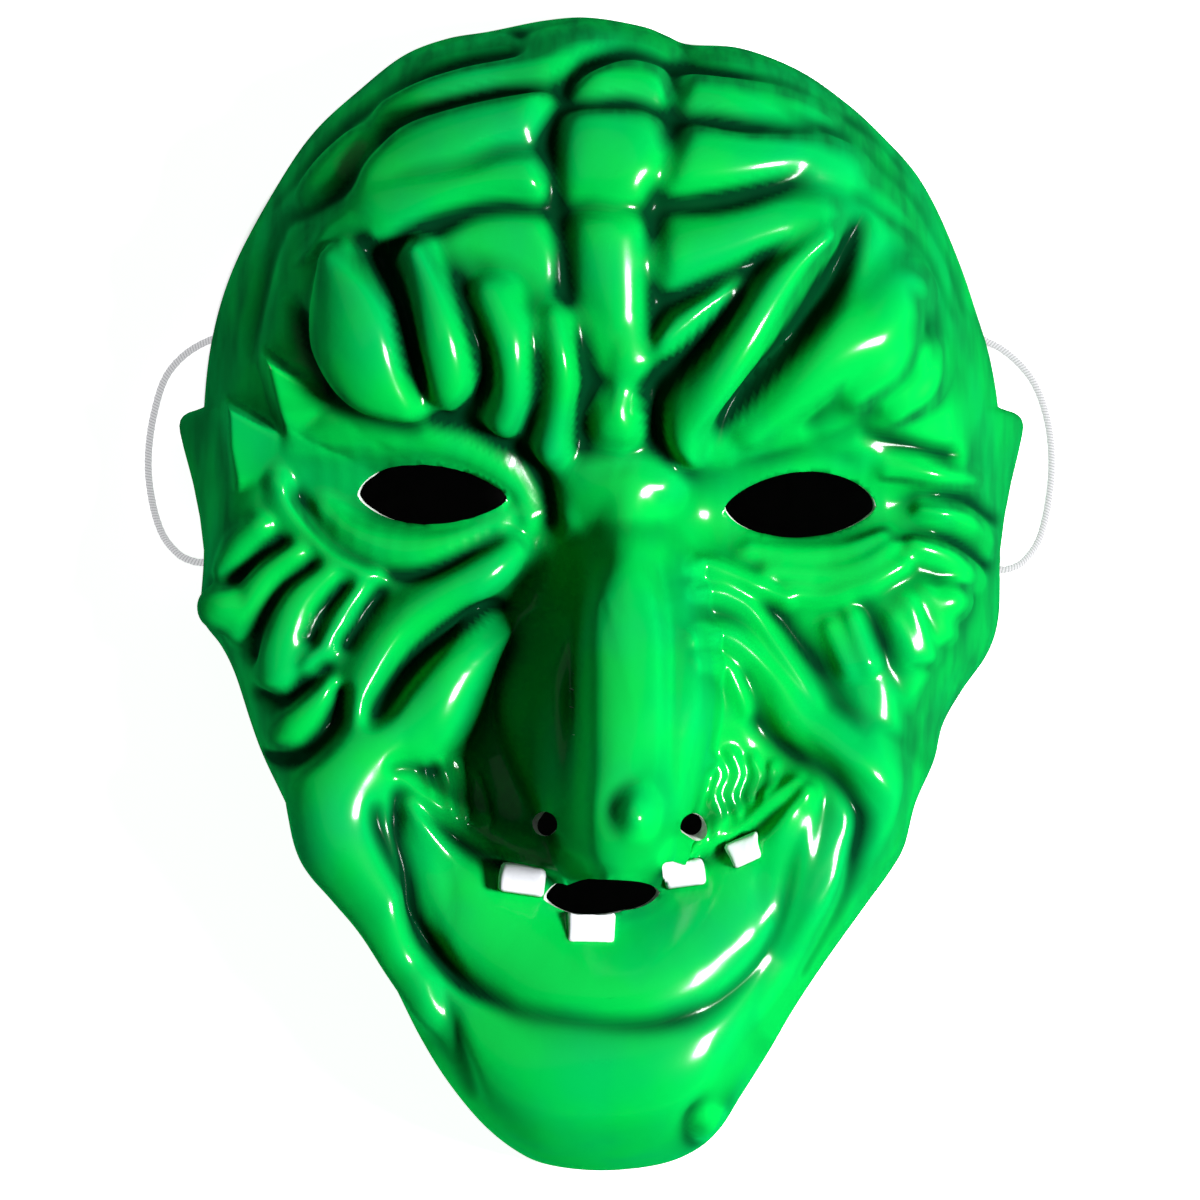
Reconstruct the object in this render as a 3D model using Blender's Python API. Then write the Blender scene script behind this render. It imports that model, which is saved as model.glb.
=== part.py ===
"""Moulded half-shell monster mask with its elastic, lying on its flat rim with the face up.

Metres, +Z out of the face, +Y towards the crown, +X to the right of someone looking at the face.
The origin is the middle of the rim's plane.
"""
import math

import bmesh
import bpy
import numpy as np

# Driving sizes
MASK_LENGTH = 0.240         # chin to crown
WALL = 0.0012               # thickness of the moulded sheet
EYE_WIDTH = 0.0305
EYE_HEIGHT = 0.0130
MOUTH_WIDTH = 0.0228
MOUTH_HEIGHT = 0.0072
NOSTRIL_BORE = 0.0045
ELASTIC_DIAMETER = 0.0015
ELASTIC_HOLE = 0.0030       # bore of the side holes that the elastic passes through
ELASTIC_HOLE_HEIGHT = 0.0070  # middle of the side holes above the rim's plane
KNOT_DIAMETER = 0.0046
PIECE_GAP = 0.0005          # clearance between neighbouring pieces
ARCH_HEIGHT = 0.0050        # the rim's lift at the temples, where the elastic passes under it
ARCH_SPAN = 0.0440
RIM_SKIRT = 0.0015          # how far the moulding runs on below the plane where its rim is trimmed
SHEET_TRIANGLES = 3620      # triangles of the sheet before it gets its thickness
GRID_SEGMENTS = 136         # squares along each side of the grid that the sheet is shaped from
CORD_PITCH = 3.0            # spacing of the elastic's points, in diameters
CURVE_STEPS = 8             # points worked out between two that are given along a smooth curve
BORE_SEGMENTS = 16
SIDE_BORE_SEGMENTS = 12
ARCH_SEGMENTS = 96
LENS_SEGMENTS = 14

# The face is a free form: its outline, pose and carving are in units of a 240th of its length
UNIT = MASK_LENGTH / 240.0

GREEN = (0.0, 0.42, 0.045, 1.0)
ELASTIC_GREY = (0.74, 0.74, 0.73, 1.0)

# The rim seen from above, counter-clockwise from the crown's left: x, y
RIM = (
    (-2.5, 120), (8.3, 118.2), (18, 114.4), (29, 113.6), (41, 109), (51, 102.1), (65, 88), (69.8, 79.8),
    (77.9, 58.3), (81.6, 37), (82.2, 22), (82.9, 5), (82.5, -5.4), (80.2, -12.5), (71, -27.1), (69.1, -34.8),
    (65.3, -43.5), (63, -52.3), (54.4, -65.4), (46.3, -76.7), (34.6, -95.4), (24.6, -111.2), (11.7, -118.8),
    (0, -120), (-11, -118.8), (-25, -110), (-37.9, -91.9), (-49.6, -70.8), (-61.5, -55.2), (-65, -45.2),
    (-70.2, -34.2), (-76.3, -16.7), (-82.6, -6.3), (-83.5, -2.5), (-82.2, 22), (-82.1, 37), (-80.8, 53.5),
    (-76.3, 68.8), (-67.5, 85.2), (-59.8, 96.3), (-41.3, 112.1), (-32.3, 115.6), (-11.9, 119.4),
)
# Height of the face's middle line over y, chin first
PROFILE = (
    (-122, 46), (-113, 54), (-103, 58), (-90, 58), (-75, 55), (-55, 55), (-35, 54), (-15, 53), (5, 53),
    (28, 56), (45, 61), (62, 63), (80, 63), (98, 60), (112, 54), (122, 44),
)
CROSS_FALL = 12.0           # drop of the face from its middle line to its sides
CROSS_HALF_WIDTH = 80.0     # distance from the middle line at which that drop is reached
# How squarely the side wall turns into the face, by direction in degrees
SHOULDER = (
    (-180, 9), (-165, 8), (-150, 8), (-120, 11), (-90, 13), (-60, 14), (-30, 15), (0, 16), (35, 13), (60, 12),
    (90, 13), (115, 9), (125, 6.5), (135, 4.6), (145, 3.6), (152, 4.2), (163, 7), (172, 9), (180, 9),
)

# A mean section of the face, which spreads the grid's squares: depth of its walls and how squarely they turn
MEAN_DEPTH = 0.36
MEAN_SQUARENESS = 7
# Shares of the way from the rim to the middle over which masses, carving and ears run in
MASS_RUN = 0.12
CARVING_RUN = 0.03
CARVING_AT_RIM = 0.25       # what is left of the carving at the rim itself
EAR_START = 0.1
EAR_RUN = 0.04
HOLE_FLOOR = 28.8           # height above which the face's holes are cut, so that the side walls stay whole
MOUTH_SHARPNESS = 2.2       # how bluntly the mouth's corners end

# Strokes of carving: a height, then points x, y, half width and, where it fades, a share of the height
MASSES = {
    "left_socket": (-7.0, (-58, 20, 15, 0.7), (-36, 20, 19), (-20, 18, 15)),
    "right_socket": (-6.0, (24, 17, 14, 0.8), (42, 18, 17), (58, 19, 13, 0.7)),
    "left_brow": (4.0, (-52, 52, 20), (-30, 52, 20), (-12, 48, 16)),
    "right_brow": (4.5, (16, 45, 16), (36, 50, 20), (56, 50, 20)),
    "left_cheek": (4.0, (-62, -10, 22), (-58, -40, 20), (-46, -64, 16)),
    "right_cheek": (5.0, (64, -4, 22), (60, -38, 20), (47, -64, 16)),
    "muzzle": (-4.0, (-24, -40, 18), (0, -40, 18, 0.3), (26, -38, 18)),
    "mouth_basin": (-5.0, (-28, -56, 16), (0, -66, 18), (28, -56, 16)),
    "chin": (2.6, (-4, -99, 34), (8, -99, 34)),
    "nose_skirt": (2.4, (13, 12, 9, 0.2), (18, -2, 12, 0.8), (21, -20, 14), (21, -40, 12, 0.6)),
    "left_hollow": (
        -9.0, (-11, 9, 8, 0.6), (-14, 0, 11), (-19, -14, 13), (-21, -30, 13.5), (-18, -43, 11, 0.6),
    ),
}
# Nose and its wings: x, y, half width, height above the face
NOSE = (
    (5.4, 19.5, 2, 0), (5.3, 14.5, 7, 5), (5.0, 8, 9.2, 13.5), (5.0, 0, 9.7, 18.5), (5.0, -18, 10.3, 26),
    (4.9, -33, 10.8, 32), (4.8, -43, 11.2, 36), (4.8, -50.5, 11, 36.5),
)
WINGS = (
    (
        (12, 8, 6.5, 3), (12.3, -2, 8, 11), (12.8, -12, 9.8, 17), (12.8, -22, 10.8, 21), (11.5, -32, 10.4, 26),
        (9.5, -41, 10, 31), (6.5, -48, 8.6, 33),
    ),
    ((-12, -12, 8, 4), (-14, -23, 8, 8), (-9.5, -37, 7, 15), (-3.5, -49, 6, 24)),
)
WING_BLEND = 1.0            # sharpness of the join between the nose and its wings
FIRM_ROLLS = {
    "crown": (3.2, (-14, 112.5, 4), (3, 115, 5), (14.5, 112.3, 3.2)),
    "left_temple": (3.4, (-62, 81.5, 2), (-49.5, 93, 3.6)),
    "frown_knob": (5.5, (3.4, 36.4, 7.4)),
    "right_frown_outer": (4.0, (12.5, 51, 2.8), (30, 64.5, 3.4)),
    "right_frown_inner": (7.0, (45, 72.5, 4), (28, 50, 5.8), (17.5, 35, 5.6), (17.5, 29, 3)),
    "left_frown_leaf": (6.5, (-55, 66, 4.5), (-48.5, 50.5, 9.5), (-37.5, 39.5, 4.4, 0.8)),
    "left_frown_outer": (5.5, (-39, 69, 4), (-30, 43.8, 5.4)),
    "left_frown_middle": (4.6, (-22, 60, 6.4), (-18.3, 41, 5.4), (-19.6, 36, 4.6)),
    "left_frown_inner": (4.6, (-9, 56, 4.4), (-10, 30, 4.2)),
    "left_knob": (6.4, (-77.6, -3.4, 6.2)),
    "right_knob": (4.2, (71.5, -1.5, 4.6)),
    "nose_wart": (4.2, (7.4, -44.6, 5)),
    "chin_wart": (4.4, (22.8, -108.8, 4.9)),
}
SOFT_ROLLS = {
    "left_top_fold": (2.6, (-45, 100.5, 2.9), (-8, 110.5, 5.3)),
    "left_forehead_fold": (3.0, (-47, 88, 6.9), (-36, 93.3, 8.6), (-17, 98.5, 6.9), (-12, 101.5, 4.6)),
    "left_lower_fold": (2.2, (-46, 81, 8), (-22, 85.7, 7.5), (-14.5, 85.5, 6.3)),
    "top_block": (2.4, (-1, 105.5, 5.3), (10.5, 105.5, 5.8)),
    "middle_block": (3.2, (-1.5, 91, 11.5), (4, 89.5, 12.6)),
    "low_block": (3.6, (1, 74, 10.3), (4.2, 48, 6.9)),
    "right_top_fold": (2.4, (20, 112, 3), (30, 110, 4.1), (49, 101, 3.4)),
    "right_forehead_fold": (3.2, (17.5, 88.5, 9.2), (40, 89.5, 7.5), (50, 88, 6.9)),
    "right_lower_fold": (4.0, (14, 68.5, 8), (44, 76.5, 6.9)),
    "right_brow_plate": (4.5, (30, 34, 5.8), (48, 49, 9.8), (57, 54, 9.8), (62, 62, 8)),
    "right_brow_lobe": (3.4, (52, 42, 5.2), (61, 52, 5.8)),
    "nose_root": (5.4, (0.5, 22, 7.6, 0.85), (5.5, 22.5, 8.4), (10.5, 22, 7.6, 0.9)),
    "left_lower_lid": (3.6, (-57, 17, 4.6, 0.6), (-42, 9.2, 5.8), (-25, 12.3, 4.4), (-19, 16.5, 3.4)),
    "left_upper_lid": (2.2, (-63, 33, 4.6), (-36, 32, 5.8), (-16, 22, 3.9), (-15, 16, 3.4)),
    "left_cheek_bag": (4.6, (-18, 9.3, 3.4), (-40, -5.5, 6.4), (-49.5, -20, 5.8), (-51, -27, 3.4)),
    "left_laugh_line": (
        6.5, (-23, -6.5, 4.6), (-34.5, -22.5, 10.5), (-50, -35.5, 13), (-56, -45, 14), (-54, -56, 13),
        (-43, -73, 10, 0.75), (-38.5, -84, 9, 0.5),
    ),
    "left_crow_upper": (2.4, (-70, 14.3, 3.4), (-78, 4.8, 3.4)),
    "left_crow_middle": (2.6, (-62.5, 8.5, 3.9), (-68.5, 4.2, 4.6), (-75, -8, 3.9)),
    "left_crow_lower": (2.8, (-56, 4.2, 3.9), (-62, -1, 5), (-67.5, -17, 5)),
    "left_jaw_lobe": (2.6, (-56, -20, 4.1), (-66, -29.5, 5)),
    "right_laugh_line": (
        5.0, (20, -8.5, 3, 0.6), (26.5, -9.5, 4, 0.7), (34.5, -17, 4.6, 0.7), (41, -26, 6, 0.75),
        (54.5, -37, 10.5),
        (60, -46, 11.5), (58, -58, 11), (45, -77, 9.2, 0.75), (39, -87, 8, 0.5),
    ),
    "right_cheek_lobe_1": (2.4, (49, -6, 3.8), (52.5, -15, 4.2)),
    "right_cheek_lobe_2": (2.2, (61, -3, 3.4), (65, -13, 3.8)),
    "right_cheek_lobe_3": (2.4, (67, 0, 3), (70.4, -8, 3.4)),
    "right_crow_upper": (3.4, (66, 17.5, 3), (73, 15.8, 4.1), (79.5, 10.5, 3.9)),
    "right_crow_lower": (3.2, (64, 9.5, 3), (70, 7.8, 3.9), (76, 3.2, 3.7)),
    "upper_lip_left": (4.2, (-41.5, -38.8, 2.3), (-22, -51.3, 3.8), (-6, -56.4, 3)),
    "upper_lip_right": (4.2, (14, -54, 2.8), (28, -48, 3.4), (40.5, -38.5, 2.1)),
    "lower_lip": (
        5.0, (-39.5, -43, 3.4), (-31, -56, 11), (-24, -66, 14), (-12, -73, 15.5), (1, -75, 16),
        (13, -73.5, 15.5),
        (22, -68, 15), (30, -58, 12), (37, -49, 8), (42.5, -41, 3.4),
    ),
}
CREASES = {
    "crown": (
        4.2, (-13, 104.8, 2.4, 0.4), (-9, 105.3, 3.4), (4, 111.6, 3.6), (38, 105, 2, 0.5),
        (63, 87, 1.6, 0.3),
    ),
    "crown_notch_left": (3.0, (-21, 120, 4), (-15, 112, 3, 0.7)),
    "crown_notch_right": (3.0, (19, 118, 4), (16.5, 110, 3, 0.8)),
    "left_top": (
        3.4, (-68, 80, 2, 0.5), (-55.5, 95.3, 3.2), (-42, 104.6, 3.2), (-28, 110, 3), (-15, 111.8, 2, 0.6),
    ),
    "left_forehead": (
        4.6, (-7.5, 104.5, 3), (-22, 103.4, 3.4), (-39, 98.8, 3.8), (-54, 84.6, 4.2), (-66, 77, 3, 0.6),
    ),
    "left_middle": (2.4, (-46, 85, 1.8, 0.3), (-30, 87, 2.6), (-20, 90.8, 3.2), (-13, 91.3, 3.4)),
    "left_lower": (4.6, (-9, 77, 4), (-14, 79.3, 4), (-27, 79, 4.4), (-45, 70.5, 3.4)),
    "column_left": (
        5.2, (-8, 105, 3), (-11, 95, 5), (-10, 83, 3.8), (-7.2, 57, 3.2, 0.7), (-3.2, 45.5, 3.2, 0.7),
    ),
    "column_right": (
        4.6, (15.3, 110, 2.6), (15, 95, 4.2), (12.8, 85, 3, 0.6), (10.8, 80, 4), (10.2, 49, 2.6, 0.5),
    ),
    "upper_row": (4.0, (-10, 99.2, 3.6), (7, 101.3, 2.6), (15, 99, 3)),
    "lower_row": (4.2, (-9, 77.5, 4), (-4, 78.9, 3.4), (10.8, 78.5, 3.6)),
    "right_upper": (3.4, (15, 98.8, 3.6), (42.5, 94.8, 1.6, 0.6)),
    "right_middle": (4.4, (10.8, 79, 4), (27, 81.3, 4), (41, 85.8, 2.4, 0.6)),
    "right_lower": (3.2, (11, 59.5, 2.6), (21, 62.8, 3.6), (39, 72.5, 2, 0.6)),
    "right_frown_inner": (
        6.5, (33, 69.5, 2.4, 0.5), (25, 56.8, 3.6), (11, 42.6, 4.8), (13.5, 29.5, 3, 0.6),
        (17.5, 25.5, 2.4, 0.4),
    ),
    "right_frown_outer": (10.0, (54, 77.5, 2.4, 0.3), (48, 65.5, 6), (28.5, 40.5, 5), (20, 35, 2.4, 0.3)),
    "left_frown_outer": (
        6.8, (-48.5, 70.5, 4, 0.7), (-40.3, 54.5, 5.4, 0.9), (-37.8, 43.5, 4), (-32.5, 36.5, 2.8, 0.7),
    ),
    "left_frown_middle": (
        5.2, (-37, 74, 2.4, 0.4), (-29.4, 61.5, 3.4), (-23.3, 45.3, 3.8), (-28.5, 37.2, 2.8),
    ),
    "left_frown_inner": (4.0, (-13.6, 53, 2, 0.4), (-13, 41, 3.2), (-17.3, 31, 2.6)),
    "left_brow_underside": (
        5.6, (-64, 60, 3, 0.5), (-60.7, 48.5, 4.2), (-52, 39.2, 3.2), (-40, 35.5, 2.8), (-34.5, 36, 3),
        (-21.5, 30.8, 3.2), (-14, 24.5, 4), (-11, 14, 3.6, 0.7),
    ),
    "right_brow_underside": (3.4, (54, 32.8, 2), (72, 28.3, 3)),
    "right_crow": (3.6, (56, 17.5, 2.6), (75, 19.5, 3), (81, 15.5, 2.4)),
    "left_lid": (2.8, (-63, 20.5, 2.6), (-52, 7.9, 2.8), (-37, 4.2, 2.8), (-22, 11, 2.2)),
    "left_cheek": (6.0, (-20, -2.5, 2.4, 0.5), (-26, -4.3, 3.6), (-37, -12.3, 5), (-47.5, -26.5, 3, 0.6)),
    "left_crow_upper": (3.6, (-66, 11, 2.2), (-75.5, 3.6, 2.8)),
    "left_crow_lower": (3.2, (-59.5, 6.3, 2), (-65.5, 1.8, 2.8), (-72, -13, 2.4)),
    "left_jaw_upper": (4.0, (-71, -20.5, 2.6), (-66, -21.8, 3.6), (-57, -15, 2.6)),
    "left_jaw_lower": (5.6, (-71, -33, 2.6), (-64, -34.3, 4.6), (-54.5, -25.5, 4), (-53.5, -20, 2.6)),
    "right_cheek_upper": (2.6, (33, -0.5, 3, 0.4), (37, -6, 5), (45, -15.5, 6), (53, -29, 5, 0.5)),
    "right_cheek_lower": (2.0, (52.5, -1, 3, 0.4), (56.5, -7, 4.4), (62, -20, 4.6, 0.7), (65, -29, 3, 0.3)),
    "right_laugh_line": (
        5.6, (29, -17, 3, 0.25), (31.5, -25, 4, 0.45), (35.5, -30.5, 4.2, 0.55), (43, -33.6, 4.4, 0.65),
        (49, -38.6, 4.6, 0.9), (53.4, -46, 5), (52.6, -55, 5), (49, -64, 4, 0.7), (41, -78, 3, 0.4),
    ),
    "lower_lip": (
        4.6, (-42.6, -41, 2.2), (-39.3, -62, 4.4), (-34, -73, 5), (-27, -80.5, 4, 0.8), (-15, -85.5, 3, 0.6),
        (2, -88.2, 3, 0.5), (14, -87.4, 3, 0.5), (24, -83.4, 2.8, 0.4), (37.5, -63.4, 2, 0.3),
    ),
    "chin_flank": (2.4, (-33, -80.5, 3), (-29.5, -96, 4.5), (-27, -103, 3)),
}
# Flat pointed flaps: corners x, y and height of the flap there
FLAPS = (
    ((-70.3, 50, 50), (-54, 39.5, 53), (-48, 34, 49), (-50, 28, 48), (-62, 29, 50), (-67, 37, 50)),
    (
        (-77.8, 40, 42), (-66, 33, 50), (-58, 29, 48), (-62, 24, 46), (-68.5, 25, 47), (-75.5, 21.8, 42),
        (-77.3, 30, 42),
    ),
)
FLAP_EDGE = 2.0             # width over which a flap runs out
# Teeth: middle x, y, half width, half height, turn in degrees, stand above the lips
TEETH = (
    (-16.3, -58.6, 4.6, 3.1, -4, 6.5),
    (16.7, -57.3, 4.1, 2.6, 5, 4.0),
    (29.6, -52.6, 4.0, 2.7, 22, 3.4),
    (-2.2, -69.6, 4.8, 4.1, -1, 2.6),
)
TOOTH_EDGE = 1.2            # width over which a tooth's side rises
TOOTH_CORNER = 0.8
TOOTH_EVENNESS = 0.75       # how far a tooth's face is level rather than following the lips
# Each ear: distance out from the wall over y, and the height where it has run out
EAR = ((7.6, 0), (14, 1.2), (20, 2.4), (25, 3.6), (30, 4.9), (34.5, 5.7), (36.6, 5.4), (38, 3), (39, 0))
EAR_TOP = 25.0
EAR_FADE = 9.0

# Places of the holes: x, y
LEFT_EYE = (-34.8, 20.4)
RIGHT_EYE = (41.0, 18.6)
MOUTH = (-0.3, -62.0)
NOSTRILS = ((-11.7, -47.2), (18.6, -47.6))
ELASTIC_EXITS = {"left": 6.5, "right": 5.0}  # y
ARCH_MIDDLE = 53.0                           # y

# The elastic's route in metres, from the left side hole round both loops to the right side hole
ELASTIC_ROUTE = (
    (-0.0824, 0.0065, 0.0070), (-0.0850, 0.0068, 0.0070), (-0.0882, 0.0084, 0.0058),
    (-0.0915, 0.0125, 0.0030),
    (-0.0940, 0.0190, 0.0012), (-0.0950, 0.0275, 0.0009), (-0.0938, 0.0375, 0.0009),
    (-0.0900, 0.0465, 0.0009),
    (-0.0825, 0.0525, 0.0009), (-0.0700, 0.0555, 0.0009), (-0.0480, 0.0545, 0.0009),
    (-0.0240, 0.0500, 0.0009),
    (0.0000, 0.0480, 0.0009), (0.0240, 0.0495, 0.0009), (0.0480, 0.0540, 0.0009), (0.0700, 0.0550, 0.0009),
    (0.0815, 0.0520, 0.0009), (0.0890, 0.0455, 0.0009), (0.0930, 0.0370, 0.0009), (0.0942, 0.0275, 0.0009),
    (0.0932, 0.0180, 0.0012), (0.0908, 0.0110, 0.0030), (0.0876, 0.0067, 0.0058), (0.0846, 0.0052, 0.0070),
    (0.0822, 0.0050, 0.0070),
)


def clear_scene():
    for item in list(bpy.data.objects):
        bpy.data.objects.remove(item)


def principled(name, color, roughness):
    material = bpy.data.materials.new(name)
    material.use_nodes = True
    shader = material.node_tree.nodes["Principled BSDF"]
    shader.inputs["Base Color"].default_value = color
    shader.inputs["Roughness"].default_value = roughness
    shader.inputs["Metallic"].default_value = 0.0
    return material


def smooth_step(value):
    value = np.clip(value, 0.0, 1.0)
    return value * value * (3.0 - 2.0 * value)


def smooth_curve(points, steps=CURVE_STEPS, closed=False):
    """Rows along a smooth curve that passes through all the points."""
    rows = np.array(points, dtype=float)
    if closed:
        rows = np.vstack([rows[-1:], rows, rows[:2]])
    else:
        rows = np.vstack([2 * rows[0] - rows[1], rows, 2 * rows[-1] - rows[-2]])
    t = np.linspace(0.0, 1.0, steps, endpoint=False)[:, None]
    spans = []
    for a, b, c, d in zip(rows[:-3], rows[1:-2], rows[2:-1], rows[3:]):
        cubic = 3 * b - a - 3 * c + d
        square = 2 * a - 5 * b + 4 * c - d
        spans.append(0.5 * (2 * b + (c - a) * t + square * t**2 + cubic * t**3))
    if not closed:
        spans.append(rows[-2:-1])
    return np.vstack(spans)


def rim_by_angle():
    """The rim's distance from the origin by direction, over three full turns."""
    rim = smooth_curve(RIM, closed=True)
    angle = np.arctan2(rim[:, 1], rim[:, 0])
    order = np.argsort(angle)
    turn = 2.0 * math.pi
    return np.r_[angle[order] - turn, angle[order], angle[order] + turn], np.tile(np.hypot(*rim[order].T), 3)


RIM_ANGLE, RIM_RADIUS = rim_by_angle()


def section_spacing():
    """Distance from the middle against distance along a mean section, so the walls get enough squares."""
    share = 1.0 - (1.0 - np.linspace(0.0, 1.0, 4000)) ** 3
    depth = MEAN_DEPTH * np.sqrt(np.clip(1.0 - share**MEAN_SQUARENESS, 0.0, 1.0))
    along = np.r_[0.0, np.cumsum(np.hypot(np.diff(share), np.diff(depth)))]
    return along / along[-1], share


ALONG, FROM_MIDDLE = section_spacing()


def plan(disc):
    """Points of the unit disc laid out over the mask's outline, with their share of the way to the rim."""
    angle = np.arctan2(disc[:, 1], disc[:, 0])
    share = np.interp(np.hypot(disc[:, 0], disc[:, 1]), ALONG, FROM_MIDDLE)
    radius = share * np.interp(angle, RIM_ANGLE, RIM_RADIUS)
    return radius[:, None] * np.stack([np.cos(angle), np.sin(angle)], axis=1), share, angle


def firm(s):
    return np.clip(1 - s**2, 0, 1) ** 0.72


def soft(s):
    return np.clip(1 - s**2, 0, 1) ** 1.35


def swell(s):
    return np.clip(1 - s**2, 0, 1) ** 2


def block(s):
    return (1 - 0.12 * s**2) * np.clip(1 - s**6, 0, 1) ** 0.8


def crease(s):
    return (1 - np.sqrt(s**2 + 0.012) / math.sqrt(1.012)) ** 1.7


def stroke_height(xy, height, points, section):
    """Height of one stroke at each of xy: its section swept along the smooth curve through its points."""
    rows = np.array([tuple(point) + (1.0,) * (4 - len(point)) for point in points], dtype=float)
    if len(rows) > 1:
        rows = smooth_curve(rows)
    result = np.zeros(len(xy))
    reach = rows[:, 2].max()
    inside = ((xy > rows[:, :2].min(axis=0) - reach) & (xy < rows[:, :2].max(axis=0) + reach)).all(axis=1)
    near = xy[inside]
    best = np.zeros(len(near))
    for a, b in zip(rows, rows[min(1, len(rows) - 1):]):
        run = b[:2] - a[:2]
        length = max(run @ run, 1e-9)
        t = np.clip((near - a[:2]) @ run / length, 0.0, 1.0)
        gap = np.hypot(near[:, 0] - a[0] - t * run[0], near[:, 1] - a[1] - t * run[1])
        half_width = np.maximum(a[2] + t * (b[2] - a[2]), 0.05)
        fade = a[3] + t * (b[3] - a[3])
        best = np.maximum(best, fade * section(np.minimum(gap / half_width, 1.0)))
    result[inside] = height * best
    return result


def highest_stroke(xy, strokes, section):
    return np.max([stroke_height(xy, item[0], item[1:], section) for item in strokes.values()], axis=0)


def smooth_maximum(values, sharpness):
    values = np.asarray(values)
    top = values.max(axis=0)
    return top + np.log(np.exp((values - top) * sharpness).sum(axis=0) / len(values)) / sharpness


def bare_face(disc):
    """The face without its folds: walls, brow, sockets, cheeks, chin and nose."""
    xy, share, angle = plan(disc)
    z = np.interp(xy[:, 1], *smooth_curve(PROFILE).T)
    z = z - CROSS_FALL * (xy[:, 0] / CROSS_HALF_WIDTH) ** 2
    squareness = np.interp(np.degrees(angle), *np.array(SHOULDER, dtype=float).T)
    z = z * np.sqrt(np.clip(1.0 - share**squareness, 0.0, 1.0))
    away_from_rim = smooth_step((1.0 - share) / MASS_RUN)
    for item in MASSES.values():
        z = z + away_from_rim * stroke_height(xy, item[0], item[1:], swell)
    nose = [stroke_height(xy, 1.0, NOSE, block)]
    nose += [stroke_height(xy, 1.0, wing, block) for wing in WINGS]
    z = z + np.maximum(smooth_maximum(nose, WING_BLEND), 0.0)
    return np.column_stack([xy, z]), share


def face_normals(disc, step=0.004):
    inner = disc * np.minimum(1.0, 0.993 / np.maximum(np.hypot(disc[:, 0], disc[:, 1]), 1e-9))[:, None]
    across = bare_face(inner + (step, 0.0))[0] - bare_face(inner - (step, 0.0))[0]
    along = bare_face(inner + (0.0, step))[0] - bare_face(inner - (0.0, step))[0]
    normal = np.cross(across, along)
    return normal / np.linalg.norm(normal, axis=1)[:, None]


def edge_distance(xy, corners):
    """Distance to a polygon's edge, negative inside it."""
    corners = np.array(corners, dtype=float)[:, :2]
    distance = np.full(len(xy), np.inf)
    inside = np.zeros(len(xy), dtype=bool)
    for a, b in zip(corners, np.roll(corners, -1, axis=0)):
        run = b - a
        t = np.clip((xy - a) @ run / (run @ run), 0.0, 1.0)
        distance = np.minimum(distance, np.hypot(*(xy - a - t[:, None] * run).T))
        crosses = (a[1] > xy[:, 1]) != (b[1] > xy[:, 1])
        with np.errstate(divide="ignore", invalid="ignore"):
            left_of_edge = xy[:, 0] < a[0] + (xy[:, 1] - a[1]) / run[1] * run[0]
        inside ^= crosses & left_of_edge
    return np.where(inside, -distance, distance)


def tooth_distance(xy, tooth):
    """Distance to the edge of a tooth's rounded rectangle, negative inside it."""
    turn = math.radians(tooth[4])
    offset = xy - np.array(tooth[:2])
    along = offset[:, 0] * math.cos(turn) + offset[:, 1] * math.sin(turn)
    across = offset[:, 1] * math.cos(turn) - offset[:, 0] * math.sin(turn)
    x = np.abs(along) - tooth[2] + TOOTH_CORNER
    y = np.abs(across) - tooth[3] + TOOTH_CORNER
    return np.hypot(np.maximum(x, 0), np.maximum(y, 0)) + np.minimum(np.maximum(x, y), 0) - TOOTH_CORNER


def carved_face(disc):
    """The outer surface with its folds, flaps, teeth and ears, in units."""
    disc = disc * np.minimum(1.0, 0.9999 / np.maximum(np.hypot(disc[:, 0], disc[:, 1]), 1e-9))[:, None]
    bare, share = bare_face(disc)
    xy = bare[:, :2]
    relief = np.maximum(highest_stroke(xy, FIRM_ROLLS, firm), highest_stroke(xy, SOFT_ROLLS, soft))
    relief = relief - highest_stroke(xy, CREASES, crease)
    relief = relief * smooth_step((1.0 - share) / CARVING_RUN + CARVING_AT_RIM)
    face = bare + face_normals(disc) * relief[:, None]
    for corners in FLAPS:
        table = np.array(corners, dtype=float)
        plane = np.column_stack([table[:, :2], np.ones(len(table))])
        level = np.linalg.lstsq(plane, table[:, 2], rcond=None)[0]
        rise = np.maximum(xy @ level[:2] + level[2] - face[:, 2], 0.0)
        face[:, 2] += rise * smooth_step(0.5 - edge_distance(xy, corners) / FLAP_EDGE)
    for tooth in TEETH:
        distance = tooth_distance(xy, tooth)
        under = distance < 0.0
        level = face[under, 2].mean() if under.any() else 0.0
        lift = TOOTH_EVENNESS * (level - face[:, 2]) + tooth[5]
        face[:, 2] += lift * smooth_step(0.5 - distance / TOOTH_EDGE)
    ear = np.interp(bare[:, 1], *np.array(EAR, dtype=float).T)
    ear = ear * smooth_step((EAR_TOP - bare[:, 2]) / EAR_FADE)
    face[:, 0] += np.sign(bare[:, 0]) * ear * smooth_step((share - 1.0 + EAR_START) / EAR_RUN)
    return face


def grid_to_disc(xy):
    """Points of a square grid laid out over the unit disc."""
    x = xy[:, 0] * np.sqrt(1 - xy[:, 1] ** 2 / 2)
    y = xy[:, 1] * np.sqrt(1 - xy[:, 0] ** 2 / 2)
    return np.stack([x, y], axis=1)


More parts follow.
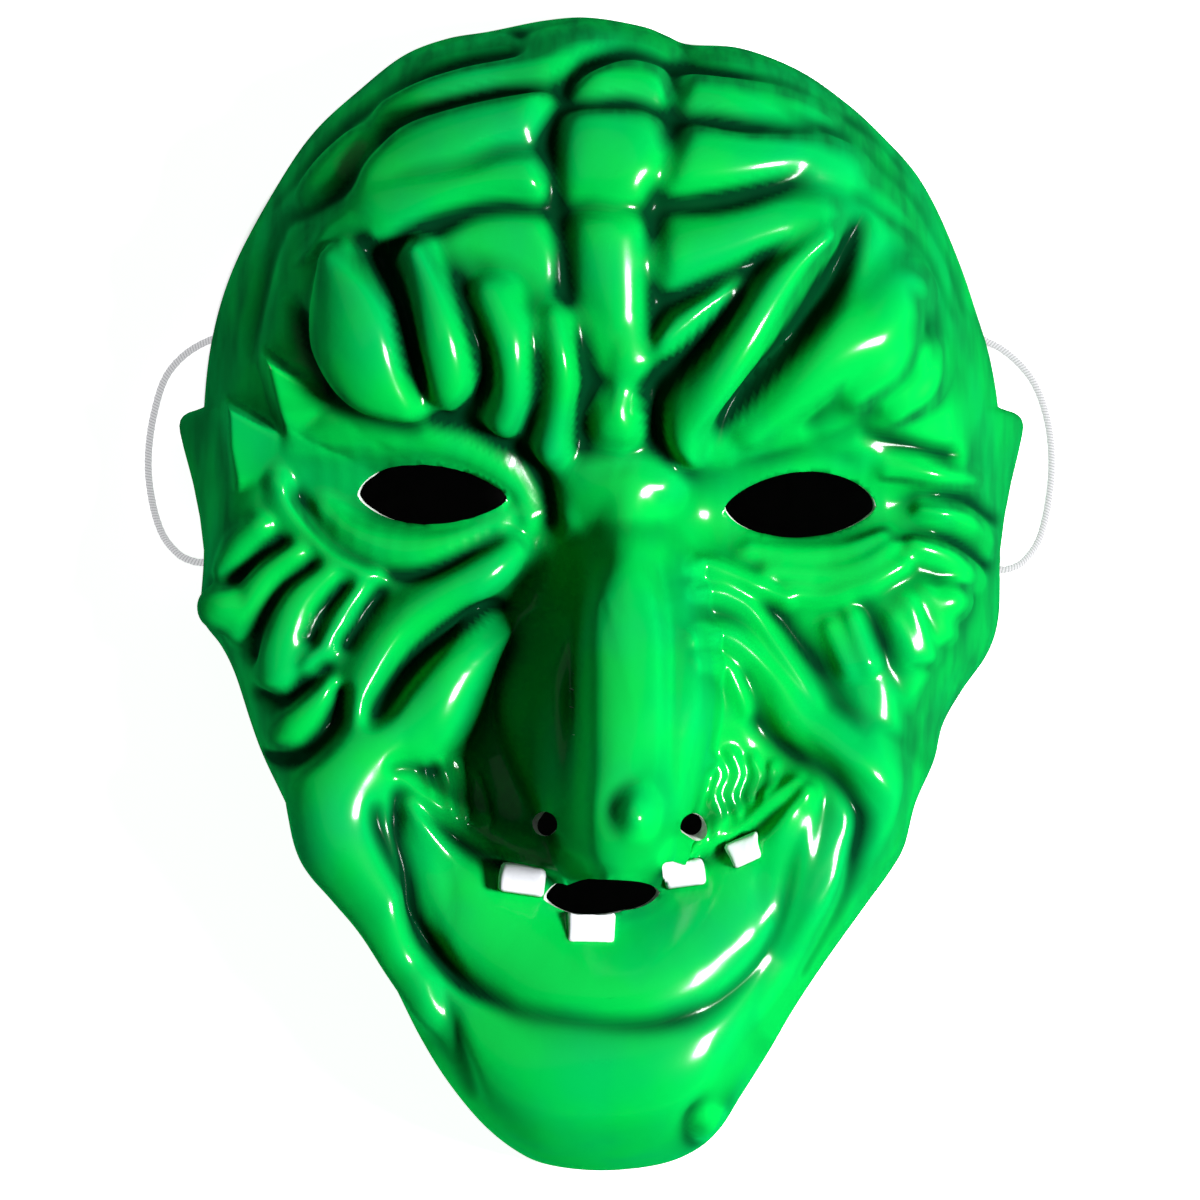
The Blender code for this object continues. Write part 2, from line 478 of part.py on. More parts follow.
def shape_sheet(mesh):
    """A square grid bent over the face, with a skirt that runs on below the rim."""
    work = bmesh.new()
    bmesh.ops.create_grid(work, x_segments=GRID_SEGMENTS, y_segments=GRID_SEGMENTS, size=1.0)
    flat = np.array([vertex.co[:2] for vertex in work.verts])
    for vertex, place in zip(work.verts, carved_face(grid_to_disc(flat)) * UNIT):
        vertex.co = place
    rim = [edge for edge in work.edges if edge.is_boundary]
    for vertex in {vertex for edge in rim for vertex in edge.verts}:
        vertex.co.z = 0.0
    skirt = bmesh.ops.extrude_edge_only(work, edges=rim)["geom"]
    lowered = [item for item in skirt if isinstance(item, bmesh.types.BMVert)]
    bmesh.ops.translate(work, verts=lowered, vec=(0.0, 0.0, -RIM_SKIRT))
    bmesh.ops.triangulate(work, faces=work.faces)
    bmesh.ops.recalc_face_normals(work, faces=work.faces)
    if sum(face.normal.z * face.calc_area() for face in work.faces) < 0:
        bmesh.ops.reverse_faces(work, faces=work.faces)
    work.to_mesh(mesh)
    work.free()
    mesh.shade_smooth()


def link(name, data, material=None):
    item = bpy.data.objects.new(name, data)
    bpy.context.scene.collection.objects.link(item)
    if material is not None:
        data.materials.append(material)
    return item


def cutter(name, work):
    mesh = bpy.data.meshes.new(name)
    bmesh.ops.recalc_face_normals(work, faces=work.faces)
    work.to_mesh(mesh)
    work.free()
    item = link(name, mesh)
    item.hide_render = True
    item.display_type = "WIRE"
    return item


def prism(name, outline, bottom, top):
    """A cutter with an upright outline."""
    work = bmesh.new()
    base = work.faces.new([work.verts.new((x, y, bottom)) for x, y in outline])
    walls = bmesh.ops.extrude_face_region(work, geom=[base])["geom"]
    lifted = [item for item in walls if isinstance(item, bmesh.types.BMVert)]
    bmesh.ops.translate(work, verts=lifted, vec=(0.0, 0.0, top - bottom))
    return cutter(name, work)


def rod(name, place, radius, length, axis, segments):
    """A round cutter, lengthwise along X or Z."""
    work = bmesh.new()
    bmesh.ops.create_cone(
        work, cap_ends=True, segments=segments, radius1=radius, radius2=radius, depth=length,
    )
    if axis == "X":
        for vertex in work.verts:
            vertex.co = (vertex.co.z, vertex.co.y, -vertex.co.x)
    bmesh.ops.translate(work, verts=work.verts, vec=place)
    return cutter(name, work)


def lens(middle, width, height, sharpness=1.0, segments=LENS_SEGMENTS):
    """An almond outline with its corners at the left and right."""
    turn = np.linspace(0.0, math.pi, segments, endpoint=False)
    x = np.r_[np.cos(turn), -np.cos(turn)]
    lift = np.clip(1 - np.abs(x) ** (1.0 + sharpness), 0, 1)
    y = np.r_[lift[:segments], -lift[segments:]]
    return [(middle[0] * UNIT + a * width / 2, middle[1] * UNIT + b * height / 2) for a, b in zip(x, y)]


def wall_point(y, height):
    """Where the side wall at y (in units) stands at a height above the rim, left and right."""
    shares = np.linspace(0.93, 0.9999, 200)
    found = {}
    for side, sign in (("left", -1.0), ("right", 1.0)):
        angle = math.atan2(y[side], sign * CROSS_HALF_WIDTH)
        face = carved_face(shares[:, None] * np.array([[math.cos(angle), math.sin(angle)]])) * UNIT
        order = np.argsort(face[:, 2])
        found[side] = float(np.interp(height, face[order, 2], face[order, 0]))
    return found


def build_shell(material):
    mesh = bpy.data.meshes.new("mask_shell")
    shape_sheet(mesh)
    shell = link("mask_shell", mesh, material)
    thin = shell.modifiers.new("fewer_triangles", "DECIMATE")
    thin.ratio = SHEET_TRIANGLES / len(mesh.polygons)
    thicken = shell.modifiers.new("wall", "SOLIDIFY")
    thicken.thickness = WALL
    thicken.offset = -1.0
    thicken.use_even_offset = False
    high = MASK_LENGTH
    long = 2.0 * MASK_LENGTH
    floor = [(-long, -long), (long, -long), (long, long), (-long, long)]
    cutters = [prism("rim_trim", floor, -high, 0.0)]
    hole_floor = HOLE_FLOOR * UNIT
    cutters.append(prism("left_eye_cut", lens(LEFT_EYE, EYE_WIDTH, EYE_HEIGHT), hole_floor, high))
    cutters.append(prism("right_eye_cut", lens(RIGHT_EYE, EYE_WIDTH, EYE_HEIGHT), hole_floor, high))
    mouth = lens(MOUTH, MOUTH_WIDTH, MOUTH_HEIGHT, MOUTH_SHARPNESS)
    cutters.append(prism("mouth_cut", mouth, hole_floor, high))
    for side, (x, y) in zip(("left", "right"), NOSTRILS):
        place = (x * UNIT, y * UNIT, hole_floor + high / 2)
        cutters.append(rod(f"{side}_nostril_cut", place, NOSTRIL_BORE / 2, high, "Z", BORE_SEGMENTS))
    wall_x = wall_point(ELASTIC_EXITS, ELASTIC_HOLE_HEIGHT)
    arch_radius = ((ARCH_SPAN / 2) ** 2 + ARCH_HEIGHT**2) / (2 * ARCH_HEIGHT)
    for side, sign in (("left", -1.0), ("right", 1.0)):
        hole = (wall_x[side], ELASTIC_EXITS[side] * UNIT, ELASTIC_HOLE_HEIGHT)
        cutters.append(rod(f"{side}_elastic_cut", hole, ELASTIC_HOLE / 2, 8 * WALL, "X", SIDE_BORE_SEGMENTS))
        arch = (sign * MASK_LENGTH / 3, ARCH_MIDDLE * UNIT, ARCH_HEIGHT - arch_radius)
        cutters.append(rod(f"{side}_arch_cut", arch, arch_radius, MASK_LENGTH / 4, "X", ARCH_SEGMENTS))
    for item in cutters:
        cut = shell.modifiers.new(item.name, "BOOLEAN")
        cut.operation = "DIFFERENCE"
        cut.solver = "EXACT"
        cut.object = item
    return wall_x


def build_knot(side, x, material):
    """The knot that holds the elastic inside its side hole."""
    inward = -1.0 if x > 0 else 1.0
    work = bmesh.new()
    bmesh.ops.create_icosphere(work, subdivisions=2, radius=KNOT_DIAMETER / 2)
    offset = WALL + PIECE_GAP + KNOT_DIAMETER / 2
    place = (x + inward * offset, ELASTIC_EXITS[side] * UNIT, ELASTIC_HOLE_HEIGHT)
    bmesh.ops.translate(work, verts=work.verts, vec=place)
    mesh = bpy.data.meshes.new(f"elastic_knot_{side}")
    work.to_mesh(mesh)
    work.free()
    mesh.shade_smooth()
    link(mesh.name, mesh, material)


def build_elastic(material):
    line = smooth_curve(ELASTIC_ROUTE, 40)
    along = np.r_[0.0, np.cumsum(np.linalg.norm(np.diff(line, axis=0), axis=1))]
    count = max(2, round(along[-1] / (CORD_PITCH * ELASTIC_DIAMETER)))
    at = np.linspace(0.0, along[-1], count + 1)
    data = bpy.data.curves.new("elastic_cord", "CURVE")
    data.dimensions = "3D"
    data.bevel_depth = ELASTIC_DIAMETER / 2
    data.bevel_resolution = 2
    data.use_fill_caps = True
    path = data.splines.new("POLY")
    path.points.add(count)
    for point, distance in zip(path.points, at):
        place = [np.interp(distance, along, line[:, axis]) for axis in range(3)]
        point.co = (*place, 1.0)
    link("elastic_cord", data, material)


def main():
    clear_scene()
    green = principled("green_pvc", GREEN, 0.22)
    grey = principled("grey_elastic", ELASTIC_GREY, 0.8)
    wall_x = build_shell(green)
    for side, x in wall_x.items():
        build_knot(side, x, grey)
    build_elastic(grey)


main()
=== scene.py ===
"""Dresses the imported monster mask: painted moulded shell, braided elastic, studio floor, lights and camera.

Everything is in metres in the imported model's frame: the mask lies face up on its rim, +Y towards the crown.
The tables of the face are in units of a 240th of the mask's length.
"""
import logging
import math
from dataclasses import dataclass
from enum import Enum
from typing import Any, Callable, Iterable, Sequence

import bmesh
import bpy
import numpy as np
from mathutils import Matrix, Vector
from mathutils.geometry import delaunay_2d_cdt


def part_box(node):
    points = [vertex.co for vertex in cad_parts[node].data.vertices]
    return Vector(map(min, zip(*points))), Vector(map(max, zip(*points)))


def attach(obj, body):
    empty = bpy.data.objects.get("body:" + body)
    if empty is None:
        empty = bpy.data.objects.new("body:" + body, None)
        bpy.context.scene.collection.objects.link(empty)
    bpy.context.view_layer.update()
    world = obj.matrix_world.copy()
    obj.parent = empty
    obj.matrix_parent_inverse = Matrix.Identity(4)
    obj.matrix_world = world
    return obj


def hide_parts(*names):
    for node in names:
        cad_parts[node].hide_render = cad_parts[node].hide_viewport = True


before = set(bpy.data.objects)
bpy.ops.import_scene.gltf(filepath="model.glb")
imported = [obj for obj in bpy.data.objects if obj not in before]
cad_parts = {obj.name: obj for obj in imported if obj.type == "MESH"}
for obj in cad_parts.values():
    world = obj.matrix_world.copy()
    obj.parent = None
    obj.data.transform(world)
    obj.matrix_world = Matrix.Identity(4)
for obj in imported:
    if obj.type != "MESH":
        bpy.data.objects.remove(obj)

logging.basicConfig(level=logging.INFO, format="%(message)s")
LOG = logging.getLogger("mask")
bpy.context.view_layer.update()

Array = np.ndarray
Material, Mesh, Piece = bpy.types.Material, bpy.types.Mesh, bpy.types.Object
Row = tuple[float, ...]
Table = tuple[Row, ...]
# A stroke of carving: its height, then rows of x, y, half width and, where it isn't 1, share of the height
Stroke = tuple[Any, ...]

# Keeps a division away from zero
TINY = 1e-9
# Narrowest half width that a stroke keeps at its ends
THINNEST = 0.05
# How far a block's top falls towards its sides, and the power that squares it
BLOCK_FALL = 0.12
BLOCK_POWER = 10
# Roundness of a crease's bottom
CREASE_ROUND = 0.012
# Roundness of a tooth's corners, the least that a ring round it has, and how much of the slope it evens out
TOOTH_CORNER = 0.8
RING_CORNER = 0.15
TOOTH_EVENNESS = 0.75
# A tooth's side: distance out from its edge against the share of its height
TOOTH_SIDE: Table = ((-1.1, 1.0), (-0.7, 0.985), (-0.35, 0.93), (-0.1, 0.8), (0.2, 0.22), (0.5, 0.0))
# How full an eye hole's edges are: less is fuller
EYE_POWER = 1.35


def smooth_step(value: Array) -> Array:
    """Smooth rise from 0 to 1."""
    value = np.clip(value, 0.0, 1.0)
    return value * value * (3.0 - 2.0 * value)


def in_box(points: Array, low: Array, high: Array) -> Array:
    """Which of the points lie between two corners."""
    return ((points > low) & (points < high)).all(axis=1)


def polar(radius: Array | float, angle: Array | float) -> Array:
    """Points at a distance from the origin, in a direction in radians."""
    return np.reshape(radius, (-1, 1)) * np.column_stack([np.cos(angle), np.sin(angle)])


def circle(count: int, radius: float = 1.0) -> Array:
    """Points spread evenly round a circle."""
    return polar(radius, np.linspace(0.0, 2 * math.pi, count, endpoint=False))


def drawn_in(disc: Array, limit: float) -> Array:
    """Points of the disc, with those past a limit drawn in to it."""
    return disc * np.minimum(1.0, limit / np.maximum(np.hypot(*disc.T), TINY))[:, None]


def turned(xy: Array, degrees: float, middle: Row = (0.0, 0.0)) -> Array:
    """Turns points counter-clockwise and then moves them.

    Args:
        xy: The points.
        degrees: How far they turn about the origin.
        middle: Where the origin goes.

    Returns:
        The turned points.
    """
    turn = math.radians(degrees)
    return np.column_stack([
        middle[0] + xy[:, 0] * math.cos(turn) - xy[:, 1] * math.sin(turn),
        middle[1] + xy[:, 0] * math.sin(turn) + xy[:, 1] * math.cos(turn),
    ])


def smooth_curve(points: Sequence[Row] | Array, steps: int = 6, closed: bool = False) -> Array:
    """Runs a smooth curve through points.

    Args:
        points: Rows of any length, in order.
        steps: Rows made for each span.
        closed: Whether the last point joins the first.

    Returns:
        The curve's rows.
    """
    rows = np.array(points, dtype=float)
    if closed:
        rows = np.vstack([rows[-1:], rows, rows[:2]])
    else:
        rows = np.vstack([2 * rows[0] - rows[1], rows, 2 * rows[-1] - rows[-2]])
    t = np.linspace(0.0, 1.0, steps, endpoint=False)[:, None]
    spans = []
    for a, b, c, d in zip(rows[:-3], rows[1:-2], rows[2:-1], rows[3:]):
        cubic = 3 * b - a - 3 * c + d
        square = 2 * a - 5 * b + 4 * c - d
        spans.append(0.5 * (2 * b + (c - a) * t + square * t**2 + cubic * t**3))
    if not closed:
        spans.append(rows[-2:-1])
    return np.vstack(spans)


def even_ring(points: Array, spacing: float) -> Array:
    """Spreads points evenly round a closed ring.

    Args:
        points: The ring's rows, the last not repeating the first.
        spacing: Distance wanted between the new points.

    Returns:
        The evenly spaced rows.
    """
    ring = np.vstack([points, points[:1]])
    along = np.r_[0.0, np.cumsum(np.linalg.norm(np.diff(ring, axis=0), axis=1))]
    count = max(8, round(along[-1] / spacing))
    at = np.linspace(0.0, along[-1], count, endpoint=False)
    return np.column_stack([np.interp(at, along, column) for column in ring.T])


def edge_distance(xy: Array, corners: Sequence[Row] | Array) -> Array:
    """Measures how far points lie from a polygon's edge.

    Args:
        xy: The points.
        corners: The polygon's corners, of which x and y are used.

    Returns:
        Distances, negative inside the polygon.
    """
    corners = np.array(corners, dtype=float)[:, :2]
    distance = np.full(len(xy), np.inf)
    inside = np.zeros(len(xy), dtype=bool)
    for a, b in zip(corners, np.roll(corners, -1, axis=0)):
        run = b - a
        t = np.clip((xy - a) @ run / (run @ run), 0.0, 1.0)
        distance = np.minimum(distance, np.hypot(*(xy - a - t[:, None] * run).T))
        crosses = (a[1] > xy[:, 1]) != (b[1] > xy[:, 1])
        with np.errstate(divide="ignore", invalid="ignore"):
            left_of_edge = xy[:, 0] < a[0] + (xy[:, 1] - a[1]) / run[1] * run[0]
        inside ^= crosses & left_of_edge
    return np.where(inside, -distance, distance)


class Section(Enum):
    """Cross-section of a stroke of carving. The value is the power that shapes its sides."""

    FIRM = 0.72
    SOFT = 1.35
    SWELL = 2.0
    BLOCK = 0.8
    CREASE = 1.7

    def height(self, s: Array) -> Array:
        """Works out the cross-section.

        Args:
            s: Shares of the stroke's half width.

        Returns:
            Shares of the stroke's height there.
        """
        if self is Section.BLOCK:
            return (1 - BLOCK_FALL * s**2) * np.clip(1 - s**BLOCK_POWER, 0, 1) ** self.value
        if self is Section.CREASE:
            return (1 - np.sqrt(s**2 + CREASE_ROUND) / math.sqrt(1 + CREASE_ROUND)) ** self.value
        return np.clip(1 - s**2, 0, 1) ** self.value


def stroke_height(xy: Array, stroke: Stroke, section: Section) -> Array:
    """Sweeps one stroke of carving along its curve.

    Args:
        xy: The points.
        stroke: Its height, negative for a hollow, and its rows.
        section: Its cross-section.

    Returns:
        Its height at each point.
    """
    rows = np.array([tuple(row) + (1.0,) * (4 - len(row)) for row in stroke[1:]], dtype=float)
    if len(rows) > 1:
        rows = smooth_curve(rows)
    result = np.zeros(len(xy))
    reach = rows[:, 2].max()
    inside = in_box(xy, rows[:, :2].min(axis=0) - reach, rows[:, :2].max(axis=0) + reach)
    near = xy[inside]
    best = np.zeros(len(near))
    for a, b in zip(rows, rows[min(1, len(rows) - 1):]):
        run = b[:2] - a[:2]
        t = np.clip((near - a[:2]) @ run / max(run @ run, TINY), 0.0, 1.0)
        gap = np.hypot(near[:, 0] - a[0] - t * run[0], near[:, 1] - a[1] - t * run[1])
        half_width = np.maximum(a[2] + t * (b[2] - a[2]), THINNEST)
        fade = a[3] + t * (b[3] - a[3])
        best = np.maximum(best, fade * section.height(np.minimum(gap / half_width, 1.0)))
    result[inside] = stroke[0] * best
    return result


def highest_stroke(xy: Array, strokes: Iterable[Stroke], section: Section) -> Array:
    """Lays several strokes over each other.

    Args:
        xy: The points.
        strokes: The strokes.
        section: Their cross-section.

    Returns:
        Height of the highest one at each point.
    """
    result = np.zeros(len(xy))
    for stroke in strokes:
        result = np.maximum(result, stroke_height(xy, stroke, section))
    return result


@dataclass(frozen=True)
class Tooth:
    """One tooth, a rounded rectangle turned by some degrees, that stands above the lips."""

    middle: Row
    half_width: float
    half_height: float
    turn: float
    stand: float

    def distance(self, xy: Array) -> Array:
        """Measures how far points lie from the tooth's edge.

        Args:
            xy: The points.

        Returns:
            Distances, negative inside the tooth.
        """
        along, across = turned(xy - self.middle, -self.turn).T
        x = np.abs(along) - self.half_width + TOOTH_CORNER
        y = np.abs(across) - self.half_height + TOOTH_CORNER
        return np.hypot(np.maximum(x, 0), np.maximum(y, 0)) + np.minimum(np.maximum(x, y), 0) - TOOTH_CORNER

    def ring(self, distance: float, spacing: float) -> Array:
        """Draws a ring round the tooth.

        Args:
            distance: How far it lies out from the tooth's edge.
            spacing: Distance between its points.

        Returns:
            The ring's x and y.
        """
        corner = max(TOOTH_CORNER + distance, RING_CORNER)
        reach = np.array([self.half_width, self.half_height]) + distance - corner
        arc = np.linspace(0.0, math.pi / 2, 6)
        quarters = [
            reach * signs + polar(corner, arc + quarter * math.pi / 2)
            for quarter, signs in enumerate(((1, 1), (-1, 1), (-1, -1), (1, -1)))
        ]
        return turned(even_ring(np.vstack(quarters), spacing), self.turn, self.middle)


@dataclass(frozen=True)
class Eye:
    """An almond-shaped eye hole between two corners.

    Its lower and upper edge are farthest out at the peaks, shares of the way along, and there by the lifts.
    """

    start: Row
    end: Row
    peaks: Row
    lifts: Row

    def outline(self, count: int = 44) -> Array:
        """Draws the hole.

        Args:
            count: Points for each edge.

        Returns:
            The outline's x and y, counter-clockwise.
        """
        start, end = np.array(self.start), np.array(self.end)
        t = (1 - np.cos(np.linspace(0.0, math.pi, count, endpoint=False))) / 2
        edges = []
        for peak, lift in zip(self.peaks, self.lifts):
            rise = (t / peak) ** (EYE_POWER * peak) * ((1 - t) / (1 - peak)) ** (EYE_POWER * (1 - peak))
            line = start + (end - start) * t[:, None]
            line[:, 1] += lift * rise
            edges.append(line)
        return np.vstack([edges[0], end, edges[1][:0:-1]])


# Sizes in metres that the moulded sheet and its holes have whatever the mask's length
WALL = 0.0012
NOSTRIL_BORE = 0.0045
ELASTIC_HOLE = 0.0030
ELASTIC_HOLE_HEIGHT = 0.0070
ELASTIC_DIAMETER = 0.0015
# Rise and width of the arch that each temple's rim makes
ARCH_HEIGHT = 0.0050
ARCH_SPAN = 0.0440
# Share of the solid's length that the shell takes, so that no fold passes the solid's outline
SNUG = 0.9998

# Broad forms, added straight up
MASSES: dict[str, Stroke] = {
    "left_socket": (-7, (-58, 20, 15, 0.7), (-36, 20, 19), (-20, 18, 15)),
    "right_socket": (-6, (24, 17, 14, 0.8), (42, 18, 17), (58, 19, 13, 0.7)),
    "left_brow": (4, (-52, 52, 20), (-30, 52, 20), (-12, 48, 16)),
    "right_brow": (4.5, (16, 45, 16), (36, 50, 20), (56, 50, 20)),
    "left_cheek": (4, (-62, -10, 22), (-58, -40, 20), (-46, -64, 16)),
    "right_cheek": (5, (64, -4, 22), (60, -38, 20), (47, -64, 16)),
    "muzzle": (-4, (-24, -40, 18), (0, -40, 18, 0.3), (26, -38, 18)),
    "mouth_basin": (-5, (-28, -56, 16), (0, -66, 18), (28, -56, 16)),
    "chin": (2.6, (-4, -99, 34), (8, -99, 34)),
    "nose_skirt": (2.4, (13, 12, 9, 0.2), (18, -2, 12, 0.8), (21, -20, 14), (21, -40, 12, 0.6)),
    "left_hollow": (-9, (-11, 9, 8, 0.6), (-14, 0, 11), (-19, -14, 13), (-21, -30, 13.5),
        (-18, -43, 11, 0.6)),
}
# Folds and lumps with full sides, raised along the surface
FIRM_ROLLS: dict[str, Stroke] = {
    "crown": (3.2, (-14, 112.5, 4), (3, 115, 5), (14.5, 112.3, 3.2)),
    "crown_lens": (2.2, (-36, 111.3, 2.2), (-28, 113.3, 3), (-20, 113.8, 2.6)),
    "left_temple": (3.4, (-62, 81.5, 2), (-56, 87, 4.2), (-49.5, 93, 3.6)),
    "frown_knob": (5.5, (3.4, 36.4, 7.4)),
    "right_frown_outer": (4, (12.5, 51, 2.8), (18, 55.3, 4.2), (30, 64.5, 3.4)),
    "right_frown_inner": (7, (45, 72.5, 4), (39, 66.5, 5), (28, 50, 5.8), (17.5, 35, 5.6), (17.5, 29, 3)),
    "left_frown_leaf": (6.5, (-53.5, 68.5, 3.4), (-50.8, 60, 8.4), (-49.6, 51, 10.4), (-46, 42.5, 8.8),
        (-37.5, 38.3, 4.2, 0.8)),
    "left_frown_outer": (5.5, (-37.5, 70.5, 4), (-34, 61, 5.8), (-32, 51.5, 6.4), (-30.8, 43.5, 5.8)),
    "left_frown_middle": (4.6, (-22, 60, 6.4), (-19, 50, 6), (-18.3, 41, 5.4), (-19.6, 36, 4.6)),
    "left_frown_inner": (4.6, (-9, 56, 4.4), (-8.6, 46, 4.6), (-10, 30, 4.2)),
    "left_knob": (6.2, (-77.6, -2.7, 5.2)),
    "right_knob": (4.2, (71.5, -1.5, 4.6)),
    "nose_wart": (4.2, (7.4, -44.6, 5)),
    "chin_wart": (5.6, (22, -109.6, 3.9)),
}
# Folds with soft sides
SOFT_ROLLS: dict[str, Stroke] = {
    "left_top_fold": (2.6, (-45, 100.5, 2.9), (-34, 104, 4.4), (-14, 108, 4.8), (-8, 110.5, 5.3)),
    "left_forehead_fold": (3, (-47, 88, 6.9), (-36, 93.3, 8.6), (-17, 98.5, 6.9), (-12, 101.5, 4.6)),
    "left_lower_fold": (2.2, (-46, 81, 8), (-22, 85.7, 7.5), (-14.5, 85.5, 6.3)),
    "top_block": (2.4, (-1, 105.5, 5.3), (5, 106.3, 6), (10.5, 105.5, 5.8)),
    "middle_block": (3.2, (-1.5, 91, 11.5), (4, 89.5, 12.6)),
    "low_block": (3.6, (1, 74, 10.4), (4.2, 48, 6.9)),
    "right_top_fold": (2.4, (20, 112, 3), (30, 110, 4.1), (49, 101, 3.4)),
    "right_upper_fold": (2.2, (17.5, 104, 5.1), (38, 101, 5.1), (47, 98.5, 3)),
    "right_forehead_fold": (3.2, (17.5, 88.5, 9.2), (40, 89.5, 7.5), (50, 88, 6.9)),
    "right_lower_fold": (4, (14, 68.5, 8), (33, 74.2, 8), (44, 76.5, 6.9)),
    "right_brow_plate": (4.5, (30, 34, 5.8), (48, 49, 9.8), (57, 54, 9.8), (62, 62, 8)),
    "right_brow_lobe": (3.4, (52, 42, 5.2), (58, 47, 6.3), (61, 52, 5.8)),
    "right_outer_lobe": (2.6, (60, 38, 4.1), (66, 43, 5.3), (67, 50, 4.6)),
    "nose_root": (4.2, (0, 22, 8.4, 0.8), (5.5, 22.5, 9), (11, 22, 8.4, 0.85)),
    "right_inner_brow": (2.5, (21, 30, 5.8), (30, 31, 4.6), (40, 34, 3.4)),
    "left_lower_lid": (3.6, (-57, 17, 4.6, 0.6), (-50, 11.3, 5.3), (-42, 9.2, 5.8), (-33, 9.7, 5.3),
        (-25, 12.3, 4.4), (-19, 16.5, 3.4)),
    "left_outer_lid": (3, (-66.5, 23, 3.4), (-63.8, 16, 4.1), (-52, 5.4, 3.9), (-46, 4.2, 2.3)),
    "left_upper_lid": (2.2, (-63, 33, 4.6), (-36, 32, 5.8), (-24, 28, 4.6), (-16, 22, 3.9), (-15, 16, 3.4)),
    "left_cheek_bag": (4.6, (-18, 9.3, 3.4), (-24, 4.3, 5.1), (-40, -5.5, 6.4), (-49.5, -20, 5.8),
        (-51, -27, 3.4)),
    "left_laugh_line": (6.5, (-23, -6.5, 4.6), (-34.5, -22.5, 10.5), (-50, -35.5, 13), (-56, -45, 14),
        (-54, -56, 13), (-43, -73, 10, 0.75), (-38.5, -84, 9, 0.5)),
    "left_crow_upper": (2.4, (-70, 14.3, 3.4), (-74.5, 10, 4.4), (-78, 4.8, 3.4)),
    "left_crow_middle": (2.6, (-62.5, 8.5, 3.9), (-68.5, 4.2, 4.6), (-73, -2, 4.8), (-75, -8, 3.9)),
    "left_crow_lower": (2.8, (-56, 4.2, 3.9), (-62, -1, 5.1), (-66, -8.5, 5.8), (-67.5, -17, 5.1)),
    "left_crow_inner": (2.2, (-49, 2.6, 3), (-60, -15, 3.4)),
    "left_jaw_lobe": (2.6, (-56, -20, 4.1), (-66, -29.5, 5.1)),
    "right_under_eye_1": (3.4, (19, 5.8, 2.5), (25, 4.3, 3.2), (38, -1.5, 2.1)),
    "right_under_eye_2": (3, (19.5, 0.5, 2.5), (25, -0.2, 3), (31, -4, 3.2), (37, -12, 3.4),
        (46, -26, 2.6, 0.6)),
    "right_laugh_line": (5, (20, -8.5, 3, 0.6), (26.5, -9.5, 4, 0.7), (34.5, -17, 4.6, 0.7),
        (41, -26, 6, 0.75), (54.5, -37, 10.5), (60, -46, 11.5), (58, -58, 11), (45, -77, 9.2, 0.75),
        (39, -87, 8, 0.5)),
    "right_nose_side": (2.4, (20.5, -13.6, 2.1), (24.5, -14.6, 3), (28.5, -19.5, 3), (30, -24, 2.3)),
    "right_cheek_lobe_1": (2.4, (47, -7, 3), (50.5, -15, 3.4)),
    "right_cheek_lobe_2": (2.4, (51.5, -5, 3), (54.5, -14, 3.4)),
    "right_cheek_lobe_3": (2.2, (60, -5, 2.8), (63.5, -12.5, 3.2)),
    "right_cheek_lobe_4": (2.4, (62.8, -2, 3), (66.7, -12.5, 3.4)),
    "right_cheek_lobe_5": (2.4, (67, 0, 3), (70.4, -8, 3.4)),
    "right_crow_upper": (3.4, (66, 17.5, 3), (73, 15.8, 4.1), (79.5, 10.5, 3.9)),
    "right_crow_lower": (3.2, (64, 9.5, 3), (70, 7.8, 3.9), (76, 3.2, 3.7)),
    "right_crow_lid": (2.4, (58, 25.6, 2.1), (64, 25.6, 3.2), (76, 23.4, 3.4)),
    "right_lid_1": (2.4, (30, 9, 2.8), (40, 7.6, 3.4), (50, 8.4, 3.2), (58, 11.5, 2.3)),
    "right_lid_2": (2.4, (34, 4.6, 2.5), (46, 3.9, 3), (54, 5.6, 3), (60, 9.5, 2.1)),
    "right_lid_3": (2.4, (38, 0.2, 2.3), (46, -0.6, 3), (54, 1.8, 3.2), (62, 6, 2.3)),
    "upper_lip_left": (4.2, (-41.5, -38.8, 2.3), (-22, -51.3, 3.8), (-6, -56.4, 3)),
    "upper_lip_right": (4.2, (14, -54, 2.8), (28, -48, 3.4), (40.5, -38.5, 2.1)),
    "lower_lip": (5, (-39.5, -43, 3.4), (-31, -56, 11), (-24, -66, 14), (-12, -73, 15.5), (1, -75, 16),
        (13, -73.5, 15.5), (22, -68, 15), (30, -58, 12), (37, -49, 8), (42.5, -41, 3.4)),
}
